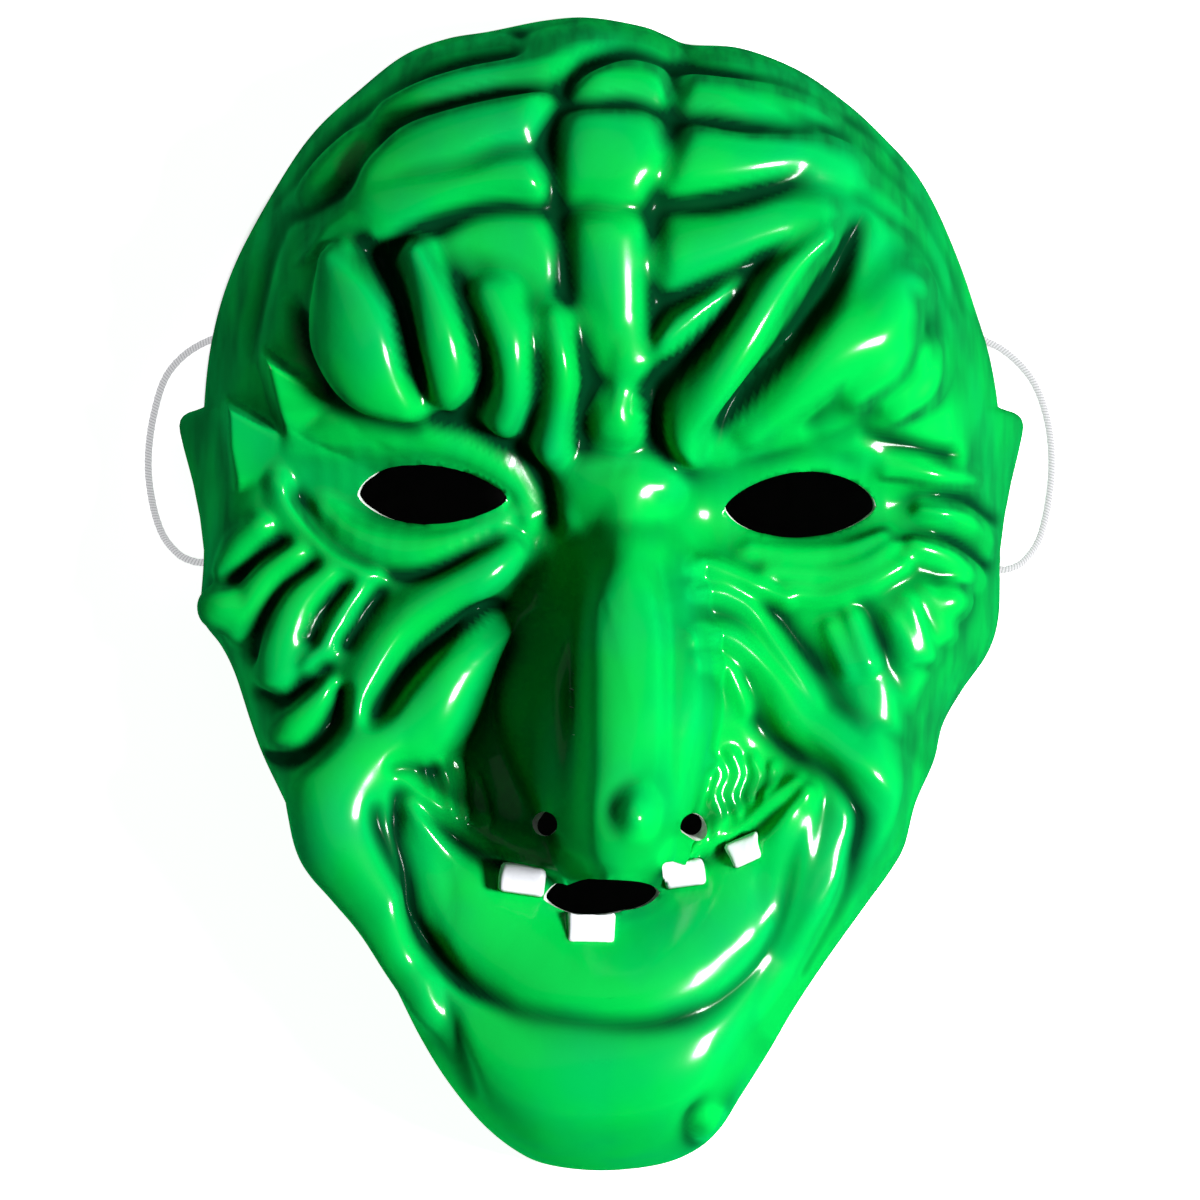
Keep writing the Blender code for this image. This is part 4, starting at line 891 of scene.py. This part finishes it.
@dataclass
class SheetMesh:
    """One triangulated side of the sheet over the unit disc, and its rings round the rim and the holes."""

    disc: Array
    triangles: Array
    rings: list[Array]

    @staticmethod
    def filling(spacing: float) -> Array:
        """Spreads points evenly over the unit disc.

        Args:
            spacing: Distance between them.

        Returns:
            The points, in staggered rows.
        """
        n = int(2 / spacing) + 3
        i, j = np.meshgrid(np.arange(-n, n + 1), np.arange(-n, n + 1))
        points = np.stack([(i + 0.5 * (j % 2)) * spacing, j * spacing * math.sqrt(3) / 2], -1).reshape(-1, 2)
        return points[np.hypot(*points.T) < 1.0 - RIM_GAP * spacing]

    @classmethod
    def make(cls, edges: Sequence[Array], guides: Sequence[Array], spacing: float) -> "SheetMesh":
        """Triangulates the disc round its holes.

        Args:
            edges: The rim and then the outline of each hole, as disc points.
            guides: Further rings that triangles' edges follow.
            spacing: Distance between the filling points.

        Returns:
            The sheet, with nothing inside the holes.
        """
        rings = [*edges, *guides]
        fixed = np.vstack(rings)
        fill = cls.filling(spacing)
        for ring in rings[1:]:
            near = np.flatnonzero(in_box(fill, ring.min(axis=0) - spacing, ring.max(axis=0) + spacing))
            crowded = np.abs(edge_distance(fill[near], ring)) < RING_GAP * spacing
            fill = np.delete(fill, near[crowded], axis=0)
        numbers = np.split(np.arange(len(fixed)), np.cumsum([len(ring) for ring in rings])[:-1])
        lines = [pair for ring in numbers for pair in zip(ring.tolist(), np.roll(ring, -1).tolist())]
        points = [Vector(point) for point in np.vstack([fixed, fill])]
        made = delaunay_2d_cdt(points, lines, [], 1, MERGE, True)
        disc = np.array([tuple(point) for point in made[0]])
        triangles = np.array([face for face in made[2] if len(face) == 3])
        new_place = {old: new for new, olds in enumerate(made[3]) for old in olds}
        middles = disc[triangles].mean(axis=1)
        keep = np.ones(len(triangles), dtype=bool)
        for ring in edges[1:]:
            near = np.flatnonzero(in_box(middles, ring.min(axis=0), ring.max(axis=0)))
            keep[near[edge_distance(middles[near], ring) < 0]] = False
        places = [np.array([new_place[number] for number in ring]) for ring in numbers[:len(edges)]]
        return cls(disc, triangles[keep], places)

    def softened(self, values: Array, rounds: int) -> Array:
        """Evens a value out over the sheet.

        Args:
            values: One value for each point.
            rounds: How often each point takes the mean of its neighbours.

        Returns:
            The softened values.
        """
        first = self.triangles.ravel()
        second = np.roll(self.triangles, -1, axis=1).ravel()
        count = np.maximum(np.bincount(first, minlength=len(values)), 1)
        for _ in range(rounds):
            around = np.bincount(first, weights=values[second], minlength=len(values))
            values = KEPT_SHARE * values + (1.0 - KEPT_SHARE) * around / count
        return values


def operator(operation: str) -> Callable[..., "Link"]:
    """Makes a method of Link out of a Math node.

    Args:
        operation: The node's operation.

    Returns:
        The method, which takes the node's further values.
    """
    def method(self: "Link", *others: Any) -> "Link":
        """Adds the node."""
        return self.tree.node("ShaderNodeMath", dict(enumerate((self, *others))), operation=operation)
    return method


class Link:
    """An output of a node. An expression on it adds the Math nodes that work it out."""

    __add__ = __radd__ = operator("ADD")
    __sub__ = operator("SUBTRACT")
    __mul__ = operator("MULTIPLY")
    __truediv__ = operator("DIVIDE")
    __pow__ = operator("POWER")
    sine = operator("SINE")
    size = operator("ABSOLUTE")
    at_least = operator("MAXIMUM")
    at_most = operator("MINIMUM")

    def __init__(self, tree: "NodeTree", socket: Any) -> None:
        """Holds the socket and the tree that it belongs to."""
        self.tree = tree
        self.socket = socket

    def __rsub__(self, other: float) -> "Link":
        """Difference from a number."""
        return self.tree.node("ShaderNodeMath", {0: other, 1: self}, operation="SUBTRACT")

    def __getitem__(self, name: str) -> "Link":
        """Another output of the same node."""
        return Link(self.tree, self.socket.node.outputs[name])

    def held(self) -> "Link":
        """The value kept between 0 and 1."""
        return self.at_least(0.0).at_most(1.0)

    def rise(self, start: float, speed: float) -> "Link":
        """A rise from 0, where the value passes start, up to 1 at most."""
        return ((self - start) * speed).held()


class NodeTree:
    """A node tree whose nodes all come from one method."""

    def __init__(self, tree: bpy.types.NodeTree) -> None:
        """Takes the tree on."""
        self.tree = tree

    def node(self, kind: str, inputs: dict[Any, Any] | None = None, output: Any = 0, **settings: Any) -> Link:
        """Adds a node.

        Args:
            kind: The node's type.
            inputs: Values or links of its sockets, by name or number.
            output: The socket that is returned, by name or number.
            settings: Its options, set before the sockets.

        Returns:
            The node's output.
        """
        made = self.tree.nodes.new(kind)
        for name, value in settings.items():
            setattr(made, name, value)
        for name, value in (inputs or {}).items():
            self.feed(made.inputs[name], value)
        return Link(self, made.outputs[output])

    def feed(self, socket: Any, value: Any) -> None:
        """Sets a socket or links it.

        Args:
            socket: The socket.
            value: A plain value or a link.
        """
        if isinstance(value, Link):
            self.tree.links.new(value.socket, socket)
        else:
            socket.default_value = value


class Shading(NodeTree):
    """A material with a Principled shader."""

    def __init__(self, name: str) -> None:
        """Starts the material under a name."""
        self.material = bpy.data.materials.new(name)
        self.material.use_nodes = True
        super().__init__(self.material.node_tree)

    def set(self, **inputs: Any) -> Material:
        """Sets or links the shader's own sockets.

        Args:
            inputs: Values or links, by the sockets' names with _ for a space.

        Returns:
            The material.
        """
        for name, value in inputs.items():
            self.feed(self.tree.nodes["Principled BSDF"].inputs[name.replace("_", " ")], value)
        return self.material

    def place(self) -> Link:
        """Object coordinates."""
        return self.node("ShaderNodeTexCoord", output="Object")

    def axes(self) -> Link:
        """Object coordinates, one output for each of X, Y and Z."""
        return self.node("ShaderNodeSeparateXYZ", {"Vector": self.place()})

    def attribute(self, name: str) -> Link:
        """A number stored on the mesh."""
        return self.node("ShaderNodeAttribute", output="Fac", attribute_name=name)

    def noise(self, scale: float, detail: float = 2.0, squeeze: Row = (1.0, 1.0, 1.0)) -> Link:
        """Adds noise over object coordinates.

        Args:
            scale: How fine it is.
            detail: How many finer layers it has.
            squeeze: How much finer it is along each axis.

        Returns:
            A value from about 0 to 1.
        """
        place = self.node("ShaderNodeMapping", {"Vector": self.place(), "Scale": squeeze})
        return self.node("ShaderNodeTexNoise", {"Vector": place, "Scale": scale, "Detail": detail})

    def mixed(self, share: Any, first: Any, second: Any) -> Link:
        """A colour between two, by a share of the second."""
        return self.node("ShaderNodeMix", {"Factor": share, 6: first, 7: second}, 2, data_type="RGBA")

    def bump(self, height: Link, distance: float, strength: float) -> Link:
        """Normals of a fine relief, with its depth in metres."""
        return self.node("ShaderNodeBump", {"Height": height, "Distance": distance, "Strength": strength})


@dataclass(frozen=True)
class PaintedSkin:
    """Glossy green moulded PVC with white painted teeth, and painted shade in the creases and down the steep
    sides.

    Clouds, speckles, grain and streaks have a noise's scale and detail; the streaks vary the sides' painted
    shade and stand in for streaky reflections. The oval is half the width and length inside which that
    painted shade is weaker. The pairs after it are where a share starts and how fast it rises.
    """

    green: Row = (0.0005, 0.44, 0.052, 1.0)
    teal: Row = (0.0005, 0.36, 0.085, 1.0)
    # Colour of the painted shade in the creases
    crease_shade_colour: Row = (0.0005, 0.030, 0.009, 1.0)
    # Colour of the painted shade down the steep side walls
    side: Row = (0.002, 0.13, 0.028, 1.0)
    white: Row = (0.74, 0.75, 0.80, 1.0)
    roughness: float = 0.6
    coat: float = 0.9
    coat_roughness: float = 0.16
    dull_folds: float = 0.8
    patchy_folds: float = 0.2
    patchy_sides: float = 0.04
    cloud: Row = (34.0, 3.0)
    speckle: Row = (900.0, 2.0)
    grain: Row = (420.0, 3.0)
    # The streaks vary the sides' painted shade and stand in for the walls' streaky reflections
    streak: tuple[float, float, Row] = (45.0, 2.0, (7.0, 1.0, 1.0))
    oval: Row = (0.075, 0.11)
    patches: Row = (0.42, 3.0)
    streaking: Row = (0.35, 3.0)
    upper: Row = (-0.10, 14.0)
    outer: Row = (0.62, 5.0)
    slope: Row = (0.23, 3.5)
    wall: Row = (0.14, 6.5)

    def make(self) -> Material:
        """Builds the material, which reads the mesh's painted crease shade, its steepness and its tooth
        paint.

        Returns:
            The material.
        """
        skin = Shading("green_pvc_skin")
        clouds = skin.noise(*self.cloud)
        # Painted shade in the creases, from how far a point lies down in a fold, made patchy by the clouds
        crease_shade = (skin.attribute("crease_shade") + (clouds - 0.5) * self.patchy_folds).held()
        steep = skin.attribute("steep") + (clouds - 0.5) * self.patchy_sides
        axes = skin.axes()
        upper = axes["Y"].rise(*self.upper)
        reach = ((axes["X"] / self.oval[0]) ** 2.0 + (axes["Y"] / self.oval[1]) ** 2.0) ** 0.5
        # Painted shade down the steep slopes, weaker towards the chin and inside the oval, with darker
        # streaks standing in for reflections
        wall_shade = steep.rise(*self.slope) * (upper * 0.6 + 0.4) * (reach.rise(*self.outer) * 0.7 + 0.3)
        streaks = skin.noise(*self.streak).rise(*self.streaking) * upper
        shade = skin.mixed(clouds.rise(*self.patches), self.green, self.teal)
        shade = skin.mixed(wall_shade * (0.55 + streaks * 0.4), shade, self.side)
        shade = skin.mixed(crease_shade, shade, self.crease_shade_colour)
        painted = (skin.attribute("tooth") - 0.5) * 6.0 + 0.5
        tooth = (painted + (skin.noise(*self.speckle) - 0.5) * 0.8).held()
        return skin.set(
            Base_Color=skin.mixed(tooth, shade, self.white), Roughness=self.roughness, Specular_IOR_Level=0.0,
            Normal=skin.bump(skin.noise(*self.grain), 0.0001, 0.5), Coat_Roughness=self.coat_roughness,
            Coat_Weight=(self.coat - steep.rise(*self.wall) * self.coat - crease_shade * self.dull_folds).held(),
        )


@dataclass(frozen=True)
class BarePvc:
    """Unpainted pale PVC of the mask's inside and its cut edges, tinted where the spray shows through."""

    pale: Row = (0.62, 0.66, 0.62, 1.0)
    tinted: Row = (0.42, 0.55, 0.46, 1.0)
    cloud: Row = (55.0, 4.0)
    patches: Row = (0.4, 1.6)
    grain: Row = (700.0, 3.0)
    roughness: float = 0.42
    patchy_roughness: float = 0.2

    def make(self) -> Material:
        """Builds the material.

        Returns:
            The material.
        """
        pvc = Shading("bare_pvc")
        clouds = pvc.noise(*self.cloud)
        return pvc.set(
            Base_Color=pvc.mixed(clouds.rise(*self.patches), self.pale, self.tinted),
            Roughness=(self.roughness + (clouds - 0.5) * self.patchy_roughness).held(),
            Normal=pvc.bump(pvc.noise(*self.grain), 0.0001, 0.5),
        )


@dataclass(frozen=True)
class BraidedElastic:
    """Round braided elastic of pale polyester yarn: slight sheen, painted shade between strands, painted
    glow.

    The pitch is the ribs' turn along the cord, in radians for each metre. The strands cross the ribs.
    """

    yarn: Row = (0.15, 0.15, 0.154, 1.0)
    # Painted shade in the grooves between the strands
    gap: Row = (0.058, 0.058, 0.061, 1.0)
    pitch: float = 5200.0
    strands: int = 4
    strand_depth: float = 0.3
    # Painted light: how strongly the elastic glows with its own colour, though it is no lamp
    painted_glow: float = 4.0
    roughness: float = 0.62
    gap_roughness: float = 0.25
    relief: float = 0.00012

    def make(self) -> Material:
        """Builds the material, which reads the mesh's turn and along.

        Returns:
            The material.
        """
        elastic = Shading("grey_braid")
        turn = elastic.attribute("turn")
        along = elastic.attribute("along")
        rib = (turn * (2 * math.pi) + along * self.pitch).sine().size()
        strand = (turn * (2 * math.pi * self.strands) - along * (self.pitch * 0.5)).sine().size()
        yarn = (rib * (strand * self.strand_depth + (1.0 - self.strand_depth))) ** 0.6
        # Painted shade in the grooves, where the braid's bump is low
        shade = elastic.mixed((1.0 - yarn) ** 1.2, self.yarn, self.gap)
        return elastic.set(
            # The elastic's colour also glows as painted light
            Base_Color=shade, Emission_Color=shade, Emission_Strength=self.painted_glow,
            Roughness=(self.roughness + (1.0 - yarn) * self.gap_roughness).held(),
            Normal=elastic.bump(yarn, self.relief, 0.8), Sheen_Weight=0.3, Sheen_Roughness=0.5,
        )


@dataclass(frozen=True)
class Paper:
    """Pale floor with painted shade in an oval under the mask, so its holes look dark, and a painted glow
    beside it that washes out the mask's cast shadow.

    The oval widens towards the crown. Each edge is a share of the oval where it starts and its speed of rise.
    """

    pale: Row = (0.9, 0.9, 0.9, 1.0)
    grain: Row = (0.86, 0.86, 0.86, 1.0)
    # Colour of the painted shade in the oval under the mask, which keeps its holes dark
    dark: Row = (0.03, 0.03, 0.03, 1.0)
    half_length: float = 0.118
    half_width: float = 0.08
    widening: float = 0.24
    shade_edge: Row = (0.9, 12.0)
    glow_edge: Row = (0.965, 40.0)
    # Painted light: the floor's own glow beside the mask, which washes out the mask's cast shadow
    glow: float = 0.95

    def make(self) -> Material:
        """Builds the material.

        Returns:
            The material.
        """
        paper = Shading("pale_paper")
        axes = paper.axes()
        across = axes["X"] / (axes["Y"] * self.widening + self.half_width)
        reach = (across ** 2.0 + (axes["Y"] / self.half_length) ** 2.0) ** 0.5
        pale = paper.mixed(paper.noise(260.0, 3.0), self.pale, self.grain)
        # Painted light: the floor glows outside the oval, washing out the mask's cast shadow there
        glow = paper.mixed(reach.rise(*self.glow_edge), (0.0, 0.0, 0.0, 1.0), (1.0, 1.0, 1.0, 1.0))
        return paper.set(
            # Painted shade inside the oval under the mask
            Base_Color=paper.mixed(reach.rise(*self.shade_edge), self.dark, pale), Roughness=0.9,
            Specular_IOR_Level=0.1, Emission_Strength=self.glow, Emission_Color=glow,
        )


def link_object(name: str, data: bpy.types.ID, *materials: Material) -> Piece:
    """Puts an object in the scene.

    Args:
        name: Its name.
        data: Its mesh, curve, light or camera.
        materials: Materials that its data still needs.

    Returns:
        The object.
    """
    for material in materials:
        data.materials.append(material)
    item = bpy.data.objects.new(name, data)
    bpy.context.scene.collection.objects.link(item)
    return item


def declare(piece: Piece, node: str) -> None:
    """Hangs a piece of the mask under the root body and hides the solid that it replaces.

    Args:
        piece: The piece.
        node: The solid that it replaces.
    """
    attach(piece, "root")
    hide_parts(node)


@dataclass
class MaskShell:
    """The moulded face: an outer and an inner side joined along the rim and round every hole.

    Spacings are over the disc, but in units round holes and teeth. In units too are the depth of a fold at
    which its painted shade is full, and how far out from its edge and over what width a tooth's paint ends.
    """

    spacing: float = 0.0072
    inner_spacing: float = 0.0125
    ring_spacing: float = 0.7
    hole_points: int = 24
    bevel: float = 0.00035
    broad_softness: int = 60
    # Fold depth, in units, at which the painted crease shade is full
    deepest: float = 1.7
    tooth_edge: Row = (0.1, 0.8)
    sharp_angle: float = 72.0

    def hole_outlines(self, form: FaceForm, grown: float = 0.0) -> list[Array]:
        """Draws the outlines of all holes.

        Args:
            form: The mask's form.
            grown: How much wider the holes in the face are, in units.

        Returns:
            A ring of disc points for each hole.
        """
        flat = [*(eye.outline() for eye in EYES), smooth_curve(MOUTH[::-1], closed=True)]
        flat = [even_ring(outline, self.ring_spacing) for outline in flat]
        flat += [middle + circle(self.hole_points, NOSTRIL_BORE / 2 / form.unit) for middle in NOSTRILS]
        rings = []
        for outline in flat:
            along = np.roll(outline, -1, axis=0) - np.roll(outline, 1, axis=0)
            outwards = np.column_stack([along[:, 1], -along[:, 0]]) / np.hypot(*along.T)[:, None]
            rings.append(form.disc_of(outline + grown * outwards))
        bore = circle(self.hole_points, ELASTIC_HOLE / 2 / form.unit)
        rings += [form.on_wall(side, y, ELASTIC_HOLE_HEIGHT / form.unit, bore) for side, y in ELASTIC_EXITS]
        return rings

    def build(self, form: FaceForm, skin: Material, bare: Material) -> None:
        """Args:
            form: The mask's form.
            skin: Finish of the outside.
            bare: Finish of the inside and the cut edges.
        """
        rim = circle(round(2 * math.pi / self.spacing))
        guides = [
            form.disc_of(tooth.ring(distance, self.ring_spacing))
            for tooth in TEETH for distance, _ in TOOTH_SIDE
        ]
        holes = self.hole_outlines(form, self.bevel / form.unit)
        outer = SheetMesh.make([rim, *holes], guides, self.spacing)
        inner = SheetMesh.make([rim, *self.hole_outlines(form)], [], self.inner_spacing)
        outside = form.outer(outer.disc, outer.softened)
        inside = form.inner(inner.disc)
        for points, sheet in ((outside, outer), (inside, inner)):
            edge = sheet.rings[0]
            lifted = points[edge]
            lifted[:, 2] = 0.0
            points[edge] = form.finish_form(lifted, np.zeros(len(edge)))
        shift = len(outside)
        faces = [outer.triangles, inner.triangles[:, ::-1] + shift]
        for first, second in zip(outer.rings, inner.rings):
            behind = second + shift
            after, behind_after = np.roll(first, -1), np.roll(behind, -1)
            faces += [np.column_stack([first, behind, after]), np.column_stack([after, behind, behind_after])]
        corners = np.vstack(faces)
        mesh = bpy.data.meshes.new("moulded_shell")
        mesh.from_pydata((np.vstack([outside, inside]) * form.unit).tolist(), [], corners.tolist())
        slots = np.ones(len(corners), dtype=np.int32)
        slots[:len(outer.triangles)] = 0
        mesh.polygons.foreach_set("material_index", slots)
        self.turn_outwards(mesh)
        self.store_paint_and_shade(mesh, form, outer)
        mesh.shade_smooth()
        mesh.set_sharp_from_angle(angle=math.radians(self.sharp_angle))
        declare(link_object("moulded_shell", mesh, skin, bare), "mask_shell")
        LOG.info("moulded_shell: %d triangles", len(corners))

    def store_paint_and_shade(self, mesh: Mesh, form: FaceForm, sheet: SheetMesh) -> None:
        """Stores each point's painted shade from how far it lies down in a fold, how much of it is tooth and
        how steep the face is there.

        Args:
            mesh: The shell's mesh.
            form: The mask's form.
            sheet: The outer side, whose points come first in the mesh.
        """
        xy, share, _ = form.plan(sheet.disc)
        relief = sheet.softened(form.relief(xy, share), RELIEF_SOFTNESS)
        # Painted shade in the creases: how far the relief lies below its broad mean, full at the given fold
        # depth
        crease_shade = (sheet.softened(relief, self.broad_softness) - relief) / self.deepest
        edge, width = self.tooth_edge
        tooth = np.max([0.5 - (item.distance(xy) - edge) / width for item in TEETH], axis=0)
        normals = np.zeros(len(mesh.vertices) * 3)
        mesh.vertices.foreach_get("normal", normals)
        for name, values in (("crease_shade", crease_shade), ("tooth", tooth), ("steep", 1.0 - normals[2::3])):
            whole = np.zeros(len(mesh.vertices), dtype=np.float32)
            whole[:len(values)] = np.clip(values, 0.0, 1.0)
            mesh.attributes.new(name, "FLOAT", "POINT").data.foreach_set("value", whole)

    def turn_outwards(self, mesh: Mesh) -> None:
        """Makes every face of the closed shell point out of the sheet.

        Args:
            mesh: The shell's mesh.
        """
        work = bmesh.new()
        work.from_mesh(mesh)
        bmesh.ops.recalc_face_normals(work, faces=work.faces)
        if work.calc_volume(signed=True) < 0:
            bmesh.ops.reverse_faces(work, faces=work.faces)
        work.to_mesh(mesh)
        work.free()


def line_length(line: Array) -> float:
    """Length of a line of points."""
    return float(np.linalg.norm(np.diff(line, axis=0), axis=1).sum())


@dataclass
class Elastic:
    """The braided elastic and its two knots.

    The braid's depth is a share of the diameter, and its lay one of half a turn for each diameter. The knots'
    room is the share of a diameter that they keep free inside their bead.
    """

    rings_per_diameter: float = 6.0
    line_steps: int = 40
    sides: int = 24
    strands: int = 6
    braid_depth: float = 0.06
    braid_lay: float = 0.9
    knot_points: int = 96
    knot_room: float = 0.55

    def tree(self, finish: Material) -> bpy.types.NodeTree:
        """Makes geometry nodes that braid a round cord along a curve.

        Args:
            finish: The cord's material.

        Returns:
            The node group, with inputs Rings, Sides, Diameter, Strands and Depth.
        """
        cord = NodeTree(bpy.data.node_groups.new("braided_cord", "GeometryNodeTree"))
        face = cord.tree.interface
        face.new_socket("Geometry", in_out="OUTPUT", socket_type="NodeSocketGeometry")
        kinds = {"Geometry": "Geometry", "Int": "Rings Sides Strands", "Float": "Diameter Depth"}
        for kind, names in kinds.items():
            for name in names.split():
                face.new_socket(name, in_out="INPUT", socket_type=f"NodeSocket{kind}")
        point = {"data_type": "FLOAT", "domain": "POINT"}
        given = cord.node("NodeGroupInput")
        spline = cord.node("GeometryNodeSplineParameter")
        line = cord.node("GeometryNodeResampleCurve", {"Curve": given["Geometry"], "Count": given["Rings"]})
        size = {"Resolution": given["Sides"], "Radius": given["Diameter"] * 0.5}
        ring = cord.node("GeometryNodeCurvePrimitiveCircle", size)
        curves, read = [], []
        for curve, name, value in ((line, "along", "Length"), (ring, "turn", "Factor")):
            stored = {"Geometry": curve, "Name": name, "Value": spline[value]}
            curves.append(cord.node("GeometryNodeStoreNamedAttribute", stored, **point))
            read.append(cord.node("GeometryNodeInputNamedAttribute", {"Name": name}, data_type="FLOAT"))
        sweep = {"Curve": curves[0], "Profile Curve": curves[1], "Fill Caps": True}
        along, turn = read
        around = turn * given["Strands"] * math.pi
        lay = along * (math.pi * self.braid_lay) / given["Diameter"]
        lift = (around + lay).sine().size() * (around - lay).sine().size() - 0.5
        offset = {0: cord.node("GeometryNodeInputNormal"), "Scale": lift * given["Depth"] * given["Diameter"]}
        raised = cord.node("ShaderNodeVectorMath", offset, operation="SCALE")
        tube = cord.node("GeometryNodeCurveToMesh", sweep)
        for kind, inputs in (
            ("SetPosition", {"Offset": raised}), ("SetShadeSmooth", {}), ("RealizeInstances", {}),
            ("SetMaterial", {"Material": finish}),
        ):
            tube = cord.node(f"GeometryNode{kind}", {"Geometry": tube, **inputs})
        cord.feed(cord.tree.nodes.new("NodeGroupOutput").inputs[0], tube)
        return cord.tree

    def braid(self, name: str, line: Array, closed: bool, finish: Material) -> Piece:
        """Braids a cord along a line and turns it into a plain mesh.

        Args:
            name: The piece's name.
            line: The cord's middle line, in metres.
            closed: Whether its ends join.
            finish: Its material.

        Returns:
            The piece.
        """
        curve = bpy.data.curves.new(name, "CURVE")
        curve.dimensions = "3D"
        spline = curve.splines.new("POLY")
        spline.points.add(len(line) - 1)
        spline.points.foreach_set("co", np.column_stack([line, np.ones(len(line))]).ravel())
        spline.use_cyclic_u = closed
        source = link_object(f"{name}_line", curve)
        modifier = source.modifiers.new("braid", "NODES")
        modifier.node_group = self.tree(finish)
        rings = round(line_length(line) / ELASTIC_DIAMETER * self.rings_per_diameter)
        values = {
            "Rings": rings, "Sides": self.sides, "Diameter": ELASTIC_DIAMETER, "Strands": self.strands,
            "Depth": self.braid_depth,
        }
        for socket in modifier.node_group.interface.items_tree:
            if socket.in_out == "INPUT" and socket.name in values:
                modifier[socket.identifier] = values[socket.name]
        depsgraph = bpy.context.evaluated_depsgraph_get()
        mesh = bpy.data.meshes.new_from_object(source.evaluated_get(depsgraph))
        source.modifiers.clear()
        bpy.data.objects.remove(source)
        LOG.info("%s: %d faces", name, len(mesh.polygons))
        return link_object(name, mesh)

    def knot_line(self, node: str) -> Array:
        """Ties an overhand knot, pulled tight where the model has its bead.

        Args:
            node: The bead's name.

        Returns:
            The knot's middle line.
        """
        low, high = (np.array(corner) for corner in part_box(node))
        turn = np.linspace(0.0, 2 * math.pi, self.knot_points, endpoint=False)
        loops = np.column_stack([
            np.sin(3 * turn) * -1.0, np.sin(turn) + 2 * np.sin(2 * turn), np.cos(turn) - 2 * np.cos(2 * turn),
        ])
        reach = (high - low).min() / 2 - ELASTIC_DIAMETER * self.knot_room
        return (low + high) / 2 + loops * (reach / 3.0)

    def build(self, finish: Material) -> None:
        """Args:
            finish: Their material.
        """
        line = smooth_curve(ELASTIC_ROUTE, self.line_steps) / 1000
        cord = self.braid("braided_elastic", line, False, finish)
        knots = []
        for side in ("left", "right"):
            node = f"elastic_knot_{side}"
            knots.append(self.braid(f"tight_knot_{side}", self.knot_line(node), True, finish))
            declare(knots[-1], node)
        declare(cord, "elastic_cord")
        tuple(line[0])


@dataclass
class Studio:
    """Pale floor, soft studio lights and the camera that looks straight down on the mask."""

    view_width: float = 0.250
    distance: float = 4.0
    aim: tuple[float, float] = (-0.0004, -0.00125)
    middle: Row = (0.0, 0.0, 0.05)
    floor_reach: float = 3.0
    ambient: float = 0.05

    def camera(self) -> None:
        """Makes the camera."""
        data = bpy.data.cameras.new("camera")
        data.lens = data.sensor_width * self.distance / self.view_width
        data.clip_end = 5 * self.distance
        item = link_object("camera", data)
        item.location = (*self.aim, self.distance)
        bpy.context.scene.camera = item

    def light(self, name: str, place: Row, size: float, power: float) -> None:
        """Makes a square soft light aimed at the mask.

        Args:
            name: The light's name.
            place: Where it stands, in metres.
            size: Length of its sides.
            power: Its power in watts.
        """
        data = bpy.data.lights.new(name, "AREA")
        data.size, data.energy = size, power
        item = link_object(name, data)
        item.location = place
        item.rotation_euler = (Vector(self.middle) - Vector(place)).to_track_quat("-Z", "Y").to_euler()

    def floor(self) -> None:
        """Makes the floor."""
        mesh = bpy.data.meshes.new("floor")
        reach = self.floor_reach
        corners = [(x * reach, y * reach, 0.0) for x, y in ((-1, -1), (1, -1), (1, 1), (-1, 1))]
        mesh.from_pydata(corners, [], [(0, 1, 2, 3)])
        link_object("floor", mesh, Paper().make())

    def build(self) -> None:
        """Makes the floor, the lights and the world's faint glow."""
        self.floor()
        self.light("key", (1.10, -0.15, 1.32), size=0.36, power=62.0)
        self.light("fill", (-0.4, 0.9, 1.6), size=2.5, power=2.5)
        world = bpy.data.worlds.new("studio")
        world.use_nodes = True
        world.node_tree.nodes["Background"].inputs["Strength"].default_value = self.ambient
        bpy.context.scene.world = world
        bpy.context.scene.view_settings.view_transform = "Standard"
        LOG.info("studio: floor, lights and camera")


def main() -> None:
    """Builds every piece of the mask and the studio round it."""
    low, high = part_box("mask_shell")
    studio = Studio()
    studio.camera()
    Elastic().build(BraidedElastic().make())
    MaskShell().build(FaceForm(high[1] - low[1]), PaintedSkin().make(), BarePvc().make())
    studio.build()


if __name__ == "__main__":
    main()
